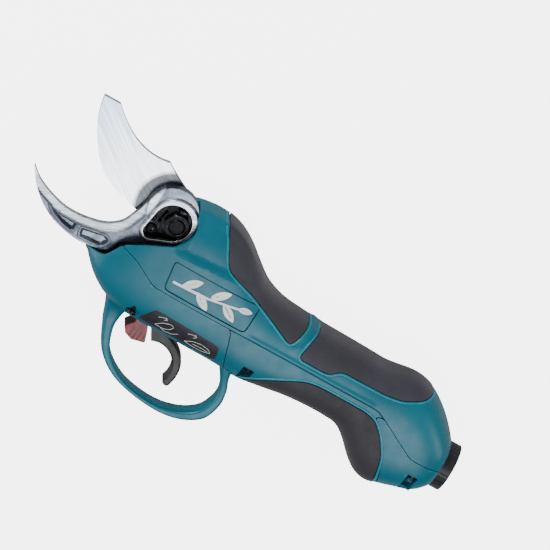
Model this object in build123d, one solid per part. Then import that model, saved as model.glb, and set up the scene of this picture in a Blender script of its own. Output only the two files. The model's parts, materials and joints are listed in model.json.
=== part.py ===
from build123d import *
import math
import os

os.makedirs("parts", exist_ok=True)

# Battery pruner handpiece. Working frame while modelling: origin on the blade pivot, +X towards
# the tail, +Y towards the top of the tool, +Z towards its left side. Everything is moved at the
# end so that the tool lies on its right side with the origin under the middle of its box.

# ---- body section table: x, top, bottom, half width, corner power ----
BODY_STATIONS = [
    (-36, -34, -41, 7, 2.6),
    (-29, -26, -48.5, 12.5, 2.8),
    (-19, -9, -56, 17, 3.0),
    (-9, 8, -60.5, 19.5, 3.1),
    (1, 14.6, -62.5, 21, 3.2),
    (14, 17.8, -63, 22.5, 3.2),
    (26, 17.6, -63, 23, 3.2),
    (36, 14.9, -63, 23, 3.2),
    (46, 9.2, -63, 23, 3.2),
    (56, 1.1, -63, 22.8, 3.1),
    (66, -6.4, -63.4, 22.4, 3.0),
    (78, -11.1, -64, 22.2, 2.9),
    (93, -13, -62, 22, 2.8),
    (108, -14.1, -59.4, 22, 2.8),
    (121, -14.5, -58.4, 22, 2.8),
    (134, -14.8, -58.4, 22, 2.8),
    (143, -15.1, -59.6, 22, 2.8),
    (151, -15.2, -65.4, 22, 2.8),
    (159, -13.9, -73.4, 22, 2.8),
    (167, -12.4, -79.4, 22.2, 2.8),
    (175, -12.6, -81.4, 22.5, 2.8),
    (183, -15.2, -79.4, 22.5, 2.8),
    (193, -21.7, -76, 22.3, 2.8),
    (201, -28.9, -73, 21, 2.9),
    (206.5, -35, -68, 18.5, 3.0),
    (208.5, -37.5, -65.5, 16.5, 3.0),
]
SECTION_POINTS = 20
WALL = 3.2
GRIP_THICKNESS = 1.8
LABEL_THICKNESS = 0.3
PLATE_DEPTH = 0.8
FAR = 60.0  # half width of every cutting prism

# ---- blades and pivot ----
BLADE_BOTTOM, BLADE_TOP = -1.8, 1.9
HOOK_BOTTOM, HOOK_TOP = 2.0, 7.5
BOSS_TOP = 10.0
BOSS_CENTRE, BOSS_R = (-6, 5.5), 15.5
RECESS_FLOOR = 6.0
BOLT_R = 5.0
BOLT_END = 11.5
NUT_FLATS, NUT_TOP = 14.0, 10.6
BUSH_R = 7.0

# ---- linkage and drive ----
DRIVE_Y, DRIVE_Z = -35.0, 2.0
CRANK_R, CRANK_REST_DEG = 20.0, -108.0
PIN_R = 3.0
LINK_EYE_R = 3.9
LINK_LENGTH = 34.0
LINK_TILT_DEG = -10.75
LINK_BOTTOM, LINK_TOP = -6.0, -2.4
NUT_PIN_Y = -26.0
NUT_PIN_X = 27.2
SCREW_R = 4.0
RUNNING = 0.05  # radial running clearance

# ---- gearbox ----
GEAR_MODULE = 0.7
SUN_TEETH, PLANET_TEETH, RING_TEETH = 12, 12, 36
GEAR_X, GEAR_WIDTH = 80.0, 8.0
PLANET_COUNT = 3
ORBIT_R = GEAR_MODULE * (SUN_TEETH + PLANET_TEETH) / 2
CASE_R = 15.8

# ---- motor ----
MOTOR_X0, MOTOR_X1 = 95.5, 138.0
ROTOR_R = 10.5
MAGNET_R = 11.2
SHAFT_R = 2.5

# ---- guard, trigger and red lever ----
GUARD_HALF_WIDTH = 6.5
TRIGGER_HALF_WIDTH = 6.5
FINGER_HALF_WIDTH = 5.2
TRIGGER_PIN_AT = (25.0, -57.0)
LEVER_PIN_AT = (13.0, -58.5)
LEVER_PIN_R, TRIGGER_PIN_R = 1.5, 2.0

# ---- cord inlet ----
INLET_Y = -52.4
INLET_R = 9.0
BORE_FLOOR_X = 203.0
SEAL_R = 8.6
COUPLING_R, COUPLING_BORE = 14.6, 12.0
COUPLING_X0, COUPLING_X1 = 208.8, 215.7

SCREW_SPOTS = [(3.5, -55.5), (80.0, -51.5), (196.5, -60.5)]
SCREW_Z = 17.0


# ------------------------------------------------------------------ helpers
def signed_power(value, power):
    """|value| to a power, with its sign kept."""
    return math.copysign(abs(value) ** power, value)


def section_wire(station, inset, x_shift=0.0):
    """One rounded cross-section of the body, as a closed curve across X."""
    x, top, bottom, half_width, power = station
    centre = (top + bottom) / 2
    height = (top - bottom) / 2 - inset
    width = half_width - inset
    points = []
    for step in range(SECTION_POINTS):
        angle = 2 * math.pi * (step + 0.5) / SECTION_POINTS
        y = centre + height * signed_power(math.sin(angle), 2 / power)
        z = width * signed_power(math.cos(angle), 2 / power)
        points.append(Vector(x + x_shift, y, z))
    return Wire([Edge.make_spline(points, periodic=True)])


def body_form(inset):
    """The whole housing form, shrunk by an inset on every side."""
    stations = BODY_STATIONS if inset <= 0.5 else BODY_STATIONS[1:]
    wires = [section_wire(station, inset) for station in stations[:-1]]
    wires.append(section_wire(stations[-1], inset, -max(inset, 0)))
    return Solid.make_loft(wires)


def outline(points):
    """A flat face inside a closed run of straight lines."""
    return make_face(Polyline(points, close=True))


def slab(face, low, high):
    """A plate between two heights."""
    return extrude(Pos(0, 0, low) * face, high - low)


def prism(points):
    """A cutting prism right across the tool."""
    return slab(outline(points), -FAR, FAR)


def disc(centre, radius, low, high):
    """A round plate or pin along Z."""
    return slab(Pos(*centre) * Circle(radius), low, high)


def shaft(radius, x0, x1, y=DRIVE_Y, z=DRIVE_Z):
    """A round bar along X."""
    return Pos((x0 + x1) / 2, y, z) * Rot(0, 90, 0) * Cylinder(radius, x1 - x0)


def tube(outer, inner, x0, x1, y=DRIVE_Y, z=DRIVE_Z):
    """A round tube along X."""
    return shaft(outer, x0, x1, y, z) - shaft(inner, x0 - 1, x1 + 1, y, z)


def bar_y(radius, x, y0, y1, z):
    """A round bar along Y."""
    return Pos(x, (y0 + y1) / 2, z) * Rot(90, 0, 0) * Cylinder(radius, y1 - y0)


def block(x0, x1, y0, y1, z0, z1):
    """A rectangular block from its corners."""
    centre = Pos((x0 + x1) / 2, (y0 + y1) / 2, (z0 + z1) / 2)
    return centre * Box(x1 - x0, y1 - y0, z1 - z0)


def on_circle(centre, radius, degrees):
    """A point on a circle."""
    angle = math.radians(degrees)
    return centre[0] + radius * math.cos(angle), centre[1] + radius * math.sin(angle)


# ------------------------------------------------------------------ outlines in the side view
SEAM = [(-60, -16), (-25, -23.5), (-10.5, -27), (5, -35), (158, -35), (163, -37.5),
        (189, -51.5), (240, -52.5)]
FRONT_SEAM = [(58, -35), (67, -60), (74, -66)]
TAIL_SEAM = [(158, -39), (167, -48.5), (176, -62), (181, -76), (182, -100)]

FRONT_GRIP = [(24, 40), (24, 18.5), (30, 14), (34.5, 3), (39, -4.5), (56, -10), (92.8, -26.5),
              (98, -14), (99, 40)]
REAR_GRIP = [(107, 40), (106, -14), (103, -20), (100.5, -30.5), (121.5, -30.5), (127, -25),
             (157, -25), (167, -23.5), (179, -18), (184, -14), (184, 40)]
LOWER_GRIP = [(74.5, -100), (74.5, -64.5), (94, -51.5), (112, -41), (121, -39.5), (152, -39.5),
              (159.5, -41.5), (167, -49), (174, -59.5), (178, -74), (179, -100)]
NAME_PLATE = [(8, -14.5), (66, -14.5), (65.5, -33), (11, -33)]
SIDE_LABEL = [(8, -58.5), (14.5, -46.5), (58, -48), (60.5, -58.5)]
WINDOW = [(-60, 60), (-60, -37.9), (-33, -37.6), (-27.5, -35.6), (-25.2, -31), (-22.5, -25.1),
          (-20.5, -22.6), (-10, -15.6), (0, -9.9), (5.5, -6.6), (9.2, -1.2), (9.9, 5), (8, 13),
          (2, 22), (-4, 60)]

GUARD_OUTER = [(-22, -50), (-12, -60), (-6.9, -71), (0, -87), (14.3, -99.5), (33, -105.8),
               (53, -107.4), (68, -104.6), (77.8, -97), (80.8, -87), (80, -77), (76, -68), (74, -58)]
GUARD_INNER = [(64, -58), (71.5, -68), (75, -77), (75, -85), (71, -94.3), (59.5, -101.5),
               (44.3, -104.2), (25, -100.8), (9.5, -90.5), (3, -77), (2.5, -67.5), (4, -58)]


def guard_ring():
    """The closed finger guard under the trigger, as a flat band bent round."""
    outer = Spline(GUARD_OUTER)
    inner = Spline(GUARD_INNER)
    right = Line(GUARD_OUTER[-1], GUARD_INNER[0])
    top_left = Polyline([GUARD_INNER[-1], (-6, -50), GUARD_OUTER[0]])
    ring = slab(make_face(outer + right + inner + top_left), -GUARD_HALF_WIDTH, GUARD_HALF_WIDTH)
    rim = ring.faces().filter_by(Axis.Z).edges()
    long_rim = [edge for edge in rim if edge.length > 60]
    return fillet(long_rim, 1.2)


def screw_pocket(spot, side):
    """The slot under one housing screw, open to the side and downwards."""
    x, y = spot
    return block(x - 3.6, x + 3.6, y - 30, y, min(side * 13.5, side * 40), max(side * 13.5, side * 40))


def screw_boss(spot, side):
    """The pillar that a housing screw bites into."""
    x, y = spot
    return bar_y(4.6, x, y, y + 9, side * SCREW_Z)


def housing_screw(spot, side):
    """Pan-head screw that points up into its pillar."""
    x, y = spot
    head = bar_y(2.7, x, y - 2.2, y, side * SCREW_Z)
    stem = bar_y(1.5, x, y, y + 7, side * SCREW_Z)
    cross = block(x - 1.6, x + 1.6, y - 2.2, y - 1.3, side * SCREW_Z - 0.35, side * SCREW_Z + 0.35)
    return head + stem - cross


# ------------------------------------------------------------------ housing
def housing_parts():
    """The four shells, the three grips, the name plates and the labels."""
    skin = body_form(0)
    hollow = body_form(WALL)
    grip_floor = body_form(GRIP_THICKNESS)
    plate_floor = body_form(PLATE_DEPTH)
    label_skin = body_form(-LABEL_THICKNESS)

    window = slab(outline(WINDOW), BLADE_BOTTOM - 0.5, FAR) + disc(BOSS_CENTRE, BOSS_R + 0.9,
                                                                   BLADE_BOTTOM - 0.5, FAR)
    bolt_hole = disc((0, 0), 10.0, -FAR, -10.4)
    trigger_slot = block(4.5, 54, -70, -52, -TRIGGER_HALF_WIDTH - 0.8, TRIGGER_HALF_WIDTH + 0.8)
    inlet_hole = shaft(COUPLING_BORE + 0.4, 180, 230, INLET_Y, 0)

    above = prism(SEAM + [(240, 80), (-60, 80)])
    tail = prism([(163, -37.5)] + TAIL_SEAM + [(240, -100), (240, -52.5), (189, -51.5)])
    front = prism([(-60, -16)] + SEAM[1:4] + FRONT_SEAM + [(74, -140), (-60, -140)])

    grips = {}
    for name, region in (("front_top_grip", FRONT_GRIP), ("rear_top_grip", REAR_GRIP),
                         ("lower_grip", LOWER_GRIP)):
        grips[name] = (skin & prism(region)) - grip_floor
    plates = (skin & prism(NAME_PLATE)) - plate_floor
    labels = (label_skin & prism(SIDE_LABEL)) - skin

    guard = guard_ring()
    drive_room = shaft(CASE_R + 0.3, 73, 96) + shaft(14.3, 195.5, 199.5, INLET_Y, 0)
    pillars = []
    cuts = [window, bolt_hole, inlet_hole, plates] + list(grips.values())
    for spot in SCREW_SPOTS:
        for side in (-1, 1):
            pillars.append((screw_boss(spot, side) & hollow) - drive_room)
            cuts.append(screw_pocket(spot, side))
            cuts.append(bar_y(1.5, spot[0], spot[1] - 1, spot[1] + 7, side * SCREW_Z))
    shell = ((skin - hollow) + pillars) - cuts

    upper = shell & above
    below = shell - above
    tail_cover = below & tail
    below = below - tail
    front_lower = (below & front) + (guard - hollow)
    front_lower = front_lower - trigger_slot
    rear_lower = below - front - guard
    parts = {"upper_housing": upper, "front_lower_housing": front_lower,
             "rear_lower_housing": rear_lower, "tail_cover": tail_cover,
             "name_plate": plates, "side_label": labels}
    parts.update(grips)
    return parts


def twig_emblem(half_width=22.9):
    """A plain raised twig with four leaves on each name plate."""
    pieces = []
    stem = outline([(16, -26.6), (58, -22.2), (58.4, -21), (16, -25.2)])
    leaves = []
    for x, y, turn in ((24, -21.6, 40), (34, -28.2, -35), (42, -19.6, 40), (51, -26.6, -35)):
        leaves.append(Pos(x, y) * Rot(0, 0, turn) * Ellipse(6.0, 2.5))
    face = stem + leaves
    for side in (-1, 1):
        low, high = sorted((side * (half_width - 0.3), side * (half_width + 0.35)))
        pieces.append(slab(face, low, high))
    return pieces


def housing_screws():
    """Six identical screws, one in each pocket."""
    return [housing_screw(spot, side) for spot in SCREW_SPOTS for side in (-1, 1)]


# ------------------------------------------------------------------ blades
def cutting_blade():
    """The moving blade: curved edge, stepped back, and the short arm that the link pulls."""
    edge = Spline([(-76.3, 46.5), (-74.6, 38.4), (-64.6, 18.5), (-49.6, 3.3), (-29.6, -4.3),
                   (-24.2, -5.6)])
    arm_tip = on_circle((0, 0), CRANK_R, CRANK_REST_DEG)
    inner = Polyline([(-24.2, -5.6), (-12, -9), (-9, -15)])
    back = Spline([(9, 9), (-3.6, 18.8), (-14.6, 24.8), (-22, 29.5)])
    hollow_back = Spline([(-22, 29.5), (-31.5, 28.6), (-45.6, 32.1), (-58, 39.8), (-65.6, 46.5)])
    top = Line((-65.6, 46.5), (-76.3, 46.5))
    base = Polyline([(-9, -15), (9, -8), (9, 9)])
    face = make_face(edge + inner + base + back + hollow_back + top)
    hub = Circle(11.5)
    arm = Pos(*arm_tip) * Circle(6.2)
    web = outline([(-11, 0), (-12.2, -17), (-0.3, -21), (9, -6)])
    blade = slab(face + hub + arm + web, BLADE_BOTTOM, BLADE_TOP)
    blade = blade - disc((0, 0), BUSH_R, BLADE_BOTTOM - 1, BLADE_TOP + 1)
    blade = blade - disc(arm_tip, PIN_R, BLADE_BOTTOM - 1, BLADE_TOP + 1)
    bevel = slab(make_face(Spline([(-79, 46), (-77.5, 37.5), (-67, 16.4), (-51.3, 0.2),
                                   (-30.4, -7.8), (-22, -9.6)])
                           + Polyline([(-22, -9.6), (-60, -20), (-90, 46), (-79, 46)])),
                 BLADE_BOTTOM - 1, BLADE_TOP + 1)
    return blade - bevel


def hook_blade():
    """The fixed blade: hook with pockets, round boss with the nut recess, and a fixing tang."""
    inner = Spline([(-91, -9), (-79.5, -17.7), (-59.5, -24.1), (-39.5, -22.2), (-28.5, -15.7),
                    (-24, -5.7), (-21.4, 4)])
    outer = Spline([(-91, -9), (-80.7, -22.2), (-65.7, -32.7), (-46.7, -37.6), (-30.7, -36),
                    (-25.7, -33.7)])
    heel = Polyline([(-25.7, -33.7), (-23.2, -26.4), (-20.7, -24.7), (4.5, -10.8), (-6, 5.5),
                     (-21.4, 4)])
    flat = slab(make_face(inner + outer + heel), HOOK_BOTTOM, HOOK_TOP)
    tang = slab(outline([(-22.5, -25), (-16, -40.5), (8, -40.5), (8, -31), (-8, -30), (-9, -16)]),
                HOOK_BOTTOM, HOOK_BOTTOM + 3.5)
    boss = disc(BOSS_CENTRE, BOSS_R, HOOK_BOTTOM, BOSS_TOP)
    blade = flat + tang + boss
    recess = slab(Pos(-5, 2.4) * Circle(12.9) + Pos(-12, -8.5) * Circle(5.8), RECESS_FLOOR, 40)
    blade = blade - recess - disc((0, 0), 10.0, RECESS_FLOOR, 40)
    front_pocket = make_face(Spline([(-67.5, -27.6), (-57, -30.3), (-47, -31.2)])
                             + Polyline([(-47, -31.2), (-46.5, -35.4)])
                             + Spline([(-46.5, -35.4), (-57, -33.6), (-67.5, -27.6)]))
    rear_pocket = outline([(-42.5, -30.8), (-28.5, -26), (-29.5, -33), (-42, -35)])
    for pocket in (front_pocket, rear_pocket):
        blade = blade - slab(pocket, HOOK_TOP - 2.2, 40)
    blade = blade - disc((0, 0), BOLT_R, 0, 40)
    for spot in tang_spots():
        blade = blade - disc(spot, 2.5, 0, 20)
    for spot, radius in lock_screw_spots():
        blade = blade - disc(spot, radius, HOOK_BOTTOM + 0.8, 20)
    return blade


def tang_spots():
    """Where the two tang screws go through the hook blade."""
    return [(-13.0, -36.0), (3.5, -36.0)]


def lock_screw_spots():
    """Places and stem radii of the lock plate's screw and of its small dowel screw."""
    return [((-11.6, -9.2), 1.6), ((-13.8, -2.6), 1.0)]


def tang_screws():
    """Two flat-headed screws that hold the hook blade to the frame."""
    screws = []
    for spot in tang_spots():
        head = disc(spot, 4.2, HOOK_BOTTOM + 3.5, HOOK_BOTTOM + 6)
        socket = slab(Pos(*spot) * RegularPolygon(2.0, 6), HOOK_BOTTOM + 4.3, HOOK_BOTTOM + 7)
        screws.append(head + disc(spot, 2.5, -8.5, HOOK_BOTTOM + 3.5) - socket)
    return screws


def lock_plate():
    """Black plate that keys the nut: a disc with arc slots and a lobe under the screw."""
    low, high = RECESS_FLOOR, RECESS_FLOOR + 1.4
    face = Pos(-5, 2.4) * Circle(11.9) + Pos(-12, -8.5) * Circle(5.0)
    plate = slab(face, low, high)
    slot = Circle(11.2) - Circle(9.2)
    wedge = outline([(0, 0), (-30, 18), (-40, 0), (-28, -9)])
    plate = plate - slab(slot & wedge, low - 1, high + 1)
    wedge_top = outline([(0, 0), (6, 30), (-12, 26)])
    plate = plate - slab(slot & wedge_top, low - 1, high + 1)
    plate = plate - disc((0, 0), BOLT_R, 0, 40)
    for spot, radius in lock_screw_spots():
        plate = plate - disc(spot, radius, 0, 40)
    return plate


def lock_plate_screws():
    """A button-head socket screw and the smaller domed dowel screw next to it."""
    screws = []
    for (spot, radius), head_r, head_h in zip(lock_screw_spots(), (3.2, 1.8), (2.0, 1.3)):
        low = RECESS_FLOOR + 1.4
        head = disc(spot, head_r, low, low + head_h)
        head = fillet(head.edges().group_by(Axis.Z)[-1], head_h * 0.6)
        stem = disc(spot, radius, HOOK_BOTTOM + 0.8, low)
        socket = slab(Pos(*spot) * RegularPolygon(head_r * 0.42, 6), low + head_h * 0.45, low + 5)
        screws.append(head + stem - socket)
    return screws


def pivot_bolt():
    """The bolt that both blades turn on; its low round head is in the right side's hole."""
    head = disc((0, 0), 8.5, -17.2, -13.4)
    socket = slab(RegularPolygon(4.0, 6), -18, -15)
    stem = disc((0, 0), BOLT_R, -13.4, BOLT_END)
    stem = chamfer(stem.edges().group_by(Axis.Z)[-1], 0.8)
    return head + stem - socket


def pivot_nut():
    """Hex nut on the bolt's free end."""
    low = RECESS_FLOOR + 1.4
    hexagon = RegularPolygon(NUT_FLATS / 2, 6, major_radius=False)
    nut = slab(Rot(0, 0, 4.4) * hexagon, low, NUT_TOP)
    cap = Pos(0, 0, low - 6) * Cone(18.0, 7.2, NUT_TOP - low + 6,
                                    align=(Align.CENTER, Align.CENTER, Align.MIN))
    return (nut & cap) - disc((0, 0), BOLT_R, 0, 40)


def pivot_bush():
    """Bronze bush pressed into the cutting blade, running on the bolt."""
    return disc((0, 0), BUSH_R, BLADE_BOTTOM, BLADE_TOP) - disc((0, 0), BOLT_R + RUNNING, -9, 9)


def head_frame():
    """Aluminium frame: pivot pillar, tang block, base plate and the screw's bearing block."""
    base = slab(outline([(-20, -41), (-18, -29), (-7, -8), (-5, 2), (6, 3), (22, -14), (74, -22),
                         (74, -47), (8, -47)]), -13.4, -10.6)
    pillar = disc((0, 0), 8.0, -13.4, BLADE_BOTTOM - 0.1)
    tang_block = slab(outline([(-20, -41), (-15.5, -31), (9, -31), (9, -41)]), -13.4, HOOK_BOTTOM)
    bearing_block = block(64, 74, -48, -22, -13.4, 16)
    frame = base + pillar + tang_block + bearing_block
    frame = frame - disc((0, 0), BOLT_R, -20, 10)
    frame = frame - shaft(11.0, 60, 90)
    for spot in tang_spots():
        frame = frame - disc(spot, 2.5, -8.5, 10)
    return frame


# ------------------------------------------------------------------ linkage and drive
def crank_pin():
    """Headed pin fixed in the blade's arm; the link's eye runs round it."""
    spot = on_circle((0, 0), CRANK_R, CRANK_REST_DEG)
    return disc(spot, PIN_R, LINK_BOTTOM - 0.3, BLADE_TOP)


def link_plate():
    """Link between the blade's arm and the ball nut's lug."""
    nut_end = (NUT_PIN_X, NUT_PIN_Y)
    arm_end = on_circle(nut_end, LINK_LENGTH, 180 + LINK_TILT_DEG)
    shape = Pos(*nut_end) * Circle(5.6) + Pos(*arm_end) * Circle(6.4)
    middle = ((nut_end[0] + arm_end[0]) / 2, (nut_end[1] + arm_end[1]) / 2)
    shape = shape + Pos(*middle) * Rot(0, 0, LINK_TILT_DEG) * Rectangle(LINK_LENGTH, 7)
    link = slab(shape, LINK_BOTTOM, LINK_TOP)
    link = link - disc(nut_end, PIN_R + RUNNING, -20, 20)
    return link - disc(arm_end, LINK_EYE_R, -20, 20)


def ball_nut():
    """Ball nut with the lug that carries the link's pin."""
    body = shaft(8.4, 33, 50)
    lug = slab(outline([(20.5, -31.5), (20.5, -22), (33, -22), (40, -27), (40, -33), (33, -33)]),
               -10.2, -6.4)
    riser = block(33, 40, -33, -27, -10.2, -3)
    nut = body + lug + riser
    nut = nut - shaft(SCREW_R + RUNNING, 10, 70)
    return nut - disc((NUT_PIN_X, NUT_PIN_Y), PIN_R, -20, 0)


def nut_pin():
    """Pin through the lug and the link."""
    return disc((NUT_PIN_X, NUT_PIN_Y), PIN_R, -10.2, LINK_TOP)


def ball_screw():
    """The screw: threaded front, bearing seat and the flange that the carrier bolts to."""
    screw = shaft(SCREW_R, 35, 76)
    grooves = [tube(SCREW_R + 0.5, SCREW_R - 0.5, x, x + 1.4)
               for x in (37.5, 42.5, 47.5, 52.5, 57.5)]
    return screw - grooves


def screw_bearing():
    """Ball bearing between the frame and the screw."""
    return tube(11.0, SCREW_R + RUNNING, 65, 73)


def gear_face(teeth, internal=False):
    """A plain spur gear outline with straight-sided teeth; an internal one is the ring's hole."""
    pitch_r = GEAR_MODULE * teeth / 2
    outward = 1 if not internal else -1
    tip_r = pitch_r + outward * GEAR_MODULE * 0.85
    root_r = pitch_r - outward * GEAR_MODULE * 1.2
    step = 360 / teeth
    points = []
    for tooth in range(teeth):
        middle = tooth * step
        points.append(on_circle((0, 0), root_r, middle - step * 0.30))
        points.append(on_circle((0, 0), tip_r, middle - step * 0.10))
        points.append(on_circle((0, 0), tip_r, middle + step * 0.10))
        points.append(on_circle((0, 0), root_r, middle + step * 0.30))
    return outline(points)


def along_x(face, x0, x1, y=DRIVE_Y, z=DRIVE_Z):
    """Extrudes a flat face along X between two stations."""
    plane = Plane(origin=(x0, y, z), x_dir=(0, 1, 0), z_dir=(1, 0, 0))
    return extrude(plane * face, x1 - x0)


def planet_centre(index):
    """Angle of one planet round the drive axis."""
    return 90 + index * 360 / PLANET_COUNT


def planet_gear(index):
    """One planet, turned so that its teeth meet the sun's gaps."""
    half_step = 180 / PLANET_TEETH
    angle = planet_centre(index)
    spot = on_circle((0, 0), ORBIT_R, angle)
    turn = angle + 180 + half_step - angle * SUN_TEETH / PLANET_TEETH
    face = Pos(*spot) * Rot(0, 0, turn) * gear_face(PLANET_TEETH)
    face = face - Pos(*spot) * Circle(1.5 + RUNNING)
    return along_x(face, GEAR_X, GEAR_X + GEAR_WIDTH)


def planet_carrier():
    """Carrier flange with the three planet pins, fixed on the screw."""
    carrier = along_x(Circle(11.4), 76, 79)
    for index in range(PLANET_COUNT):
        spot = on_circle((0, 0), ORBIT_R, planet_centre(index))
        carrier = carrier + along_x(Pos(*spot) * Circle(1.5), 79, GEAR_X + GEAR_WIDTH)
    return carrier


def ring_gear():
    """Fixed ring gear inside the case."""
    return along_x(Circle(14.4) - gear_face(RING_TEETH, internal=True), GEAR_X - 0.5, GEAR_X + GEAR_WIDTH + 0.5)


def gear_case():
    """Gearbox shell between the frame and the motor."""
    case = tube(CASE_R, 14.4, 74, 93)
    rear = tube(CASE_R, 5.6, 93, 95.5)
    return case + rear


def motor_can():
    """Motor housing."""
    return tube(CASE_R, CASE_R - 1.5, MOTOR_X0, MOTOR_X1) + tube(CASE_R, 5.6, MOTOR_X0, MOTOR_X0 + 1.5)


def motor_magnets():
    """Four curved magnets, or stator teeth, inside the can."""
    ring = tube(CASE_R - 1.5, MAGNET_R, 100, 132)
    gaps = [block(99, 133, DRIVE_Y - 1.5, DRIVE_Y + 1.5, DRIVE_Z - 20, DRIVE_Z + 20),
            block(99, 133, DRIVE_Y - 20, DRIVE_Y + 20, DRIVE_Z - 1.5, DRIVE_Z + 1.5)]
    return ring - gaps


def motor_rotor():
    """Laminated rotor on the shaft."""
    core = tube(ROTOR_R, SHAFT_R, 102, 130)
    slots = []
    for index in range(6):
        y, z = on_circle((DRIVE_Y, DRIVE_Z), ROTOR_R, index * 60)
        slots.append(shaft(1.4, 101, 131, y, z))
    return core - slots


def motor_shaft():
    """Motor shaft with the sun gear cut on its front end."""
    sun = along_x(gear_face(SUN_TEETH), GEAR_X, 93)
    return sun + shaft(SHAFT_R, 93, 140)


def motor_bearings():
    """Front and rear bearings of the motor shaft."""
    return [tube(5.6, SHAFT_R + RUNNING, 93.5, 97), tube(5.6, SHAFT_R + RUNNING, 136, 139.5)]


def motor_end_cap():
    """Rear cover of the motor."""
    return tube(CASE_R, 5.6, MOTOR_X1, 139.5) + shaft(CASE_R, 140.5, 142) + tube(CASE_R, 8, 139.5, 140.5)


def control_board():
    """Circuit board in the heel of the handle."""
    return block(157, 181, -66, -40, -1.6, 0)


def board_parts():
    """Power transistors, a capacitor and a driver chip on the board."""
    pieces = [block(x, x + 5, -65, -59, 0, 2) for x in (158, 165, 172)]
    pieces.append(block(158, 166, -54, -46, 0, 1.2))
    pieces.append(disc((173, -50), 4.5, 0, 10))
    return pieces


# ------------------------------------------------------------------ trigger
def trigger():
    """Finger lever: a flat bar that ends in a curved hook, with its boss inside the housing."""
    upper_edge = Spline([(31, -62), (39.5, -66.4), (44.5, -70), (48.4, -75.5), (49.8, -82),
                         (49, -89.6)])
    tip = ThreePointArc((49, -89.6), (46.6, -91), (43.6, -88.2))
    lower_edge = Spline([(43.6, -88.2), (44.2, -81.5), (41.6, -75.2), (36.2, -71.2), (25.6, -71.6)])
    root = Polyline([(25.6, -71.6), (21.8, -65), (20.4, -60), (22, -53), (29, -53), (31, -62)])
    lever = slab(make_face(upper_edge + tip + lower_edge + root), -FINGER_HALF_WIDTH,
                 FINGER_HALF_WIDTH)
    long_edges = [edge for edge in lever.edges() if edge.center().Y < -66 and edge.length > 14]
    lever = fillet([edge for edge in long_edges if abs(edge.center().Z) > 4], 1.6)
    return lever - disc(TRIGGER_PIN_AT, TRIGGER_PIN_R + RUNNING, -20, 20)


def lock_lever():
    """Red thumb-nail lever in front of the trigger, with moulded ribs."""
    face = outline([(7, -70.4), (11.3, -64.8), (9.5, -60), (10.5, -55.4), (15.8, -55.2), (17.4, -60),
                    (20, -66), (22.8, -73.6), (14.5, -75.7), (9.5, -73.9)])
    lever = slab(face, -TRIGGER_HALF_WIDTH, TRIGGER_HALF_WIDTH)
    corners = [edge for edge in lever.edges().filter_by(Axis.Z) if edge.center().Y < -68]
    lever = fillet(corners, 1.0)
    for index in range(4):
        x = 11.6 + 2.6 * index
        lever = lever - block(x, x + 1.1, -74.2, -68.5, TRIGGER_HALF_WIDTH - 0.5, 20)
        lever = lever - block(x, x + 1.1, -74.2, -68.5, -20, 0.5 - TRIGGER_HALF_WIDTH)
    return lever - disc(LEVER_PIN_AT, LEVER_PIN_R + RUNNING, -20, 20)


def cross_pin(spot, radius):
    """A pin from one side wall of the trigger chamber to the other."""
    return disc(spot, radius, -9.5, 9.5)


def pin_posts():
    """Two side cheeks that carry the trigger's pin and the red lever's pin."""
    cheeks = []
    for low, high in ((-9.5, -7.2), (7.2, 9.5)):
        cheek = slab(outline([(8, -61.6), (8, -52), (44, -49), (44, -61.6)]), low, high)
        cheek = cheek - disc(TRIGGER_PIN_AT, TRIGGER_PIN_R, -20, 20)
        cheeks.append(cheek - disc(LEVER_PIN_AT, LEVER_PIN_R, -20, 20))
    bridge = block(8, 44, -49.6, -47.5, -9.5, 9.5)
    return cheeks[0] + cheeks[1] + bridge


def coil_spring(radius, wire, height, pitch):
    """A compression spring standing on the XY plane."""
    path = Helix(pitch=pitch, height=height, radius=radius)
    start = Plane(origin=path @ 0, z_dir=path % 0)
    return sweep(start * Circle(wire), path=path)


def trigger_spring():
    """Return spring between the chamber's roof and the back of the trigger."""
    return Pos(35.6, -50.2, 0) * Rot(90, 0, 0) * coil_spring(2.2, 0.35, 12.0, 2.4)


def lock_spring():
    """Return spring above the red lever."""
    return Pos(11.8, -50.0, 0) * Rot(90, 0, 0) * coil_spring(1.4, 0.28, 4.8, 1.6)


def trigger_magnet():
    """Magnet set in the back of the trigger, read by the sensor."""
    return block(30.4, 33.4, -66.6, -64.2, -2, 2)


def trigger_sensor():
    """Small sensor board above the trigger."""
    return block(28, 43, -46.9, -45.6, -5, 5) + block(33, 37, -47.4, -46.9, -2, 2)


# ------------------------------------------------------------------ cord inlet
def connector_body():
    """Round inlet: a socket bore, a smaller contact chamber behind it and a flange."""
    body = shaft(COUPLING_BORE - RUNNING, 188, 213.5, INLET_Y, 0)
    flange = shaft(14.0, 196, 199, INLET_Y, 0)
    bore = shaft(INLET_R, BORE_FLOOR_X, 230, INLET_Y, 0)
    seal_seat = shaft(SEAL_R, BORE_FLOOR_X - 1, BORE_FLOOR_X, INLET_Y, 0)
    chamber = shaft(7.4, 192, 230, INLET_Y, 0)
    body = body + flange - bore - seal_seat - chamber
    for y, z in contact_spots():
        body = body - shaft(1.0, 180, 200, y, z)
    return body


def contact_spots():
    """Centres of the five contact pins across X."""
    return [on_circle((INLET_Y, 0), 4.4, 90 + 72 * index) for index in range(5)]


def connector_contacts():
    """Five brass pins."""
    return [shaft(1.0, 184, 203, y, z) for y, z in contact_spots()]


def connector_seal():
    """Flat rubber seal, sunk in the floor of the socket bore."""
    return tube(SEAL_R, 7.5, BORE_FLOOR_X - 1, BORE_FLOOR_X, INLET_Y, 0)


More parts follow.
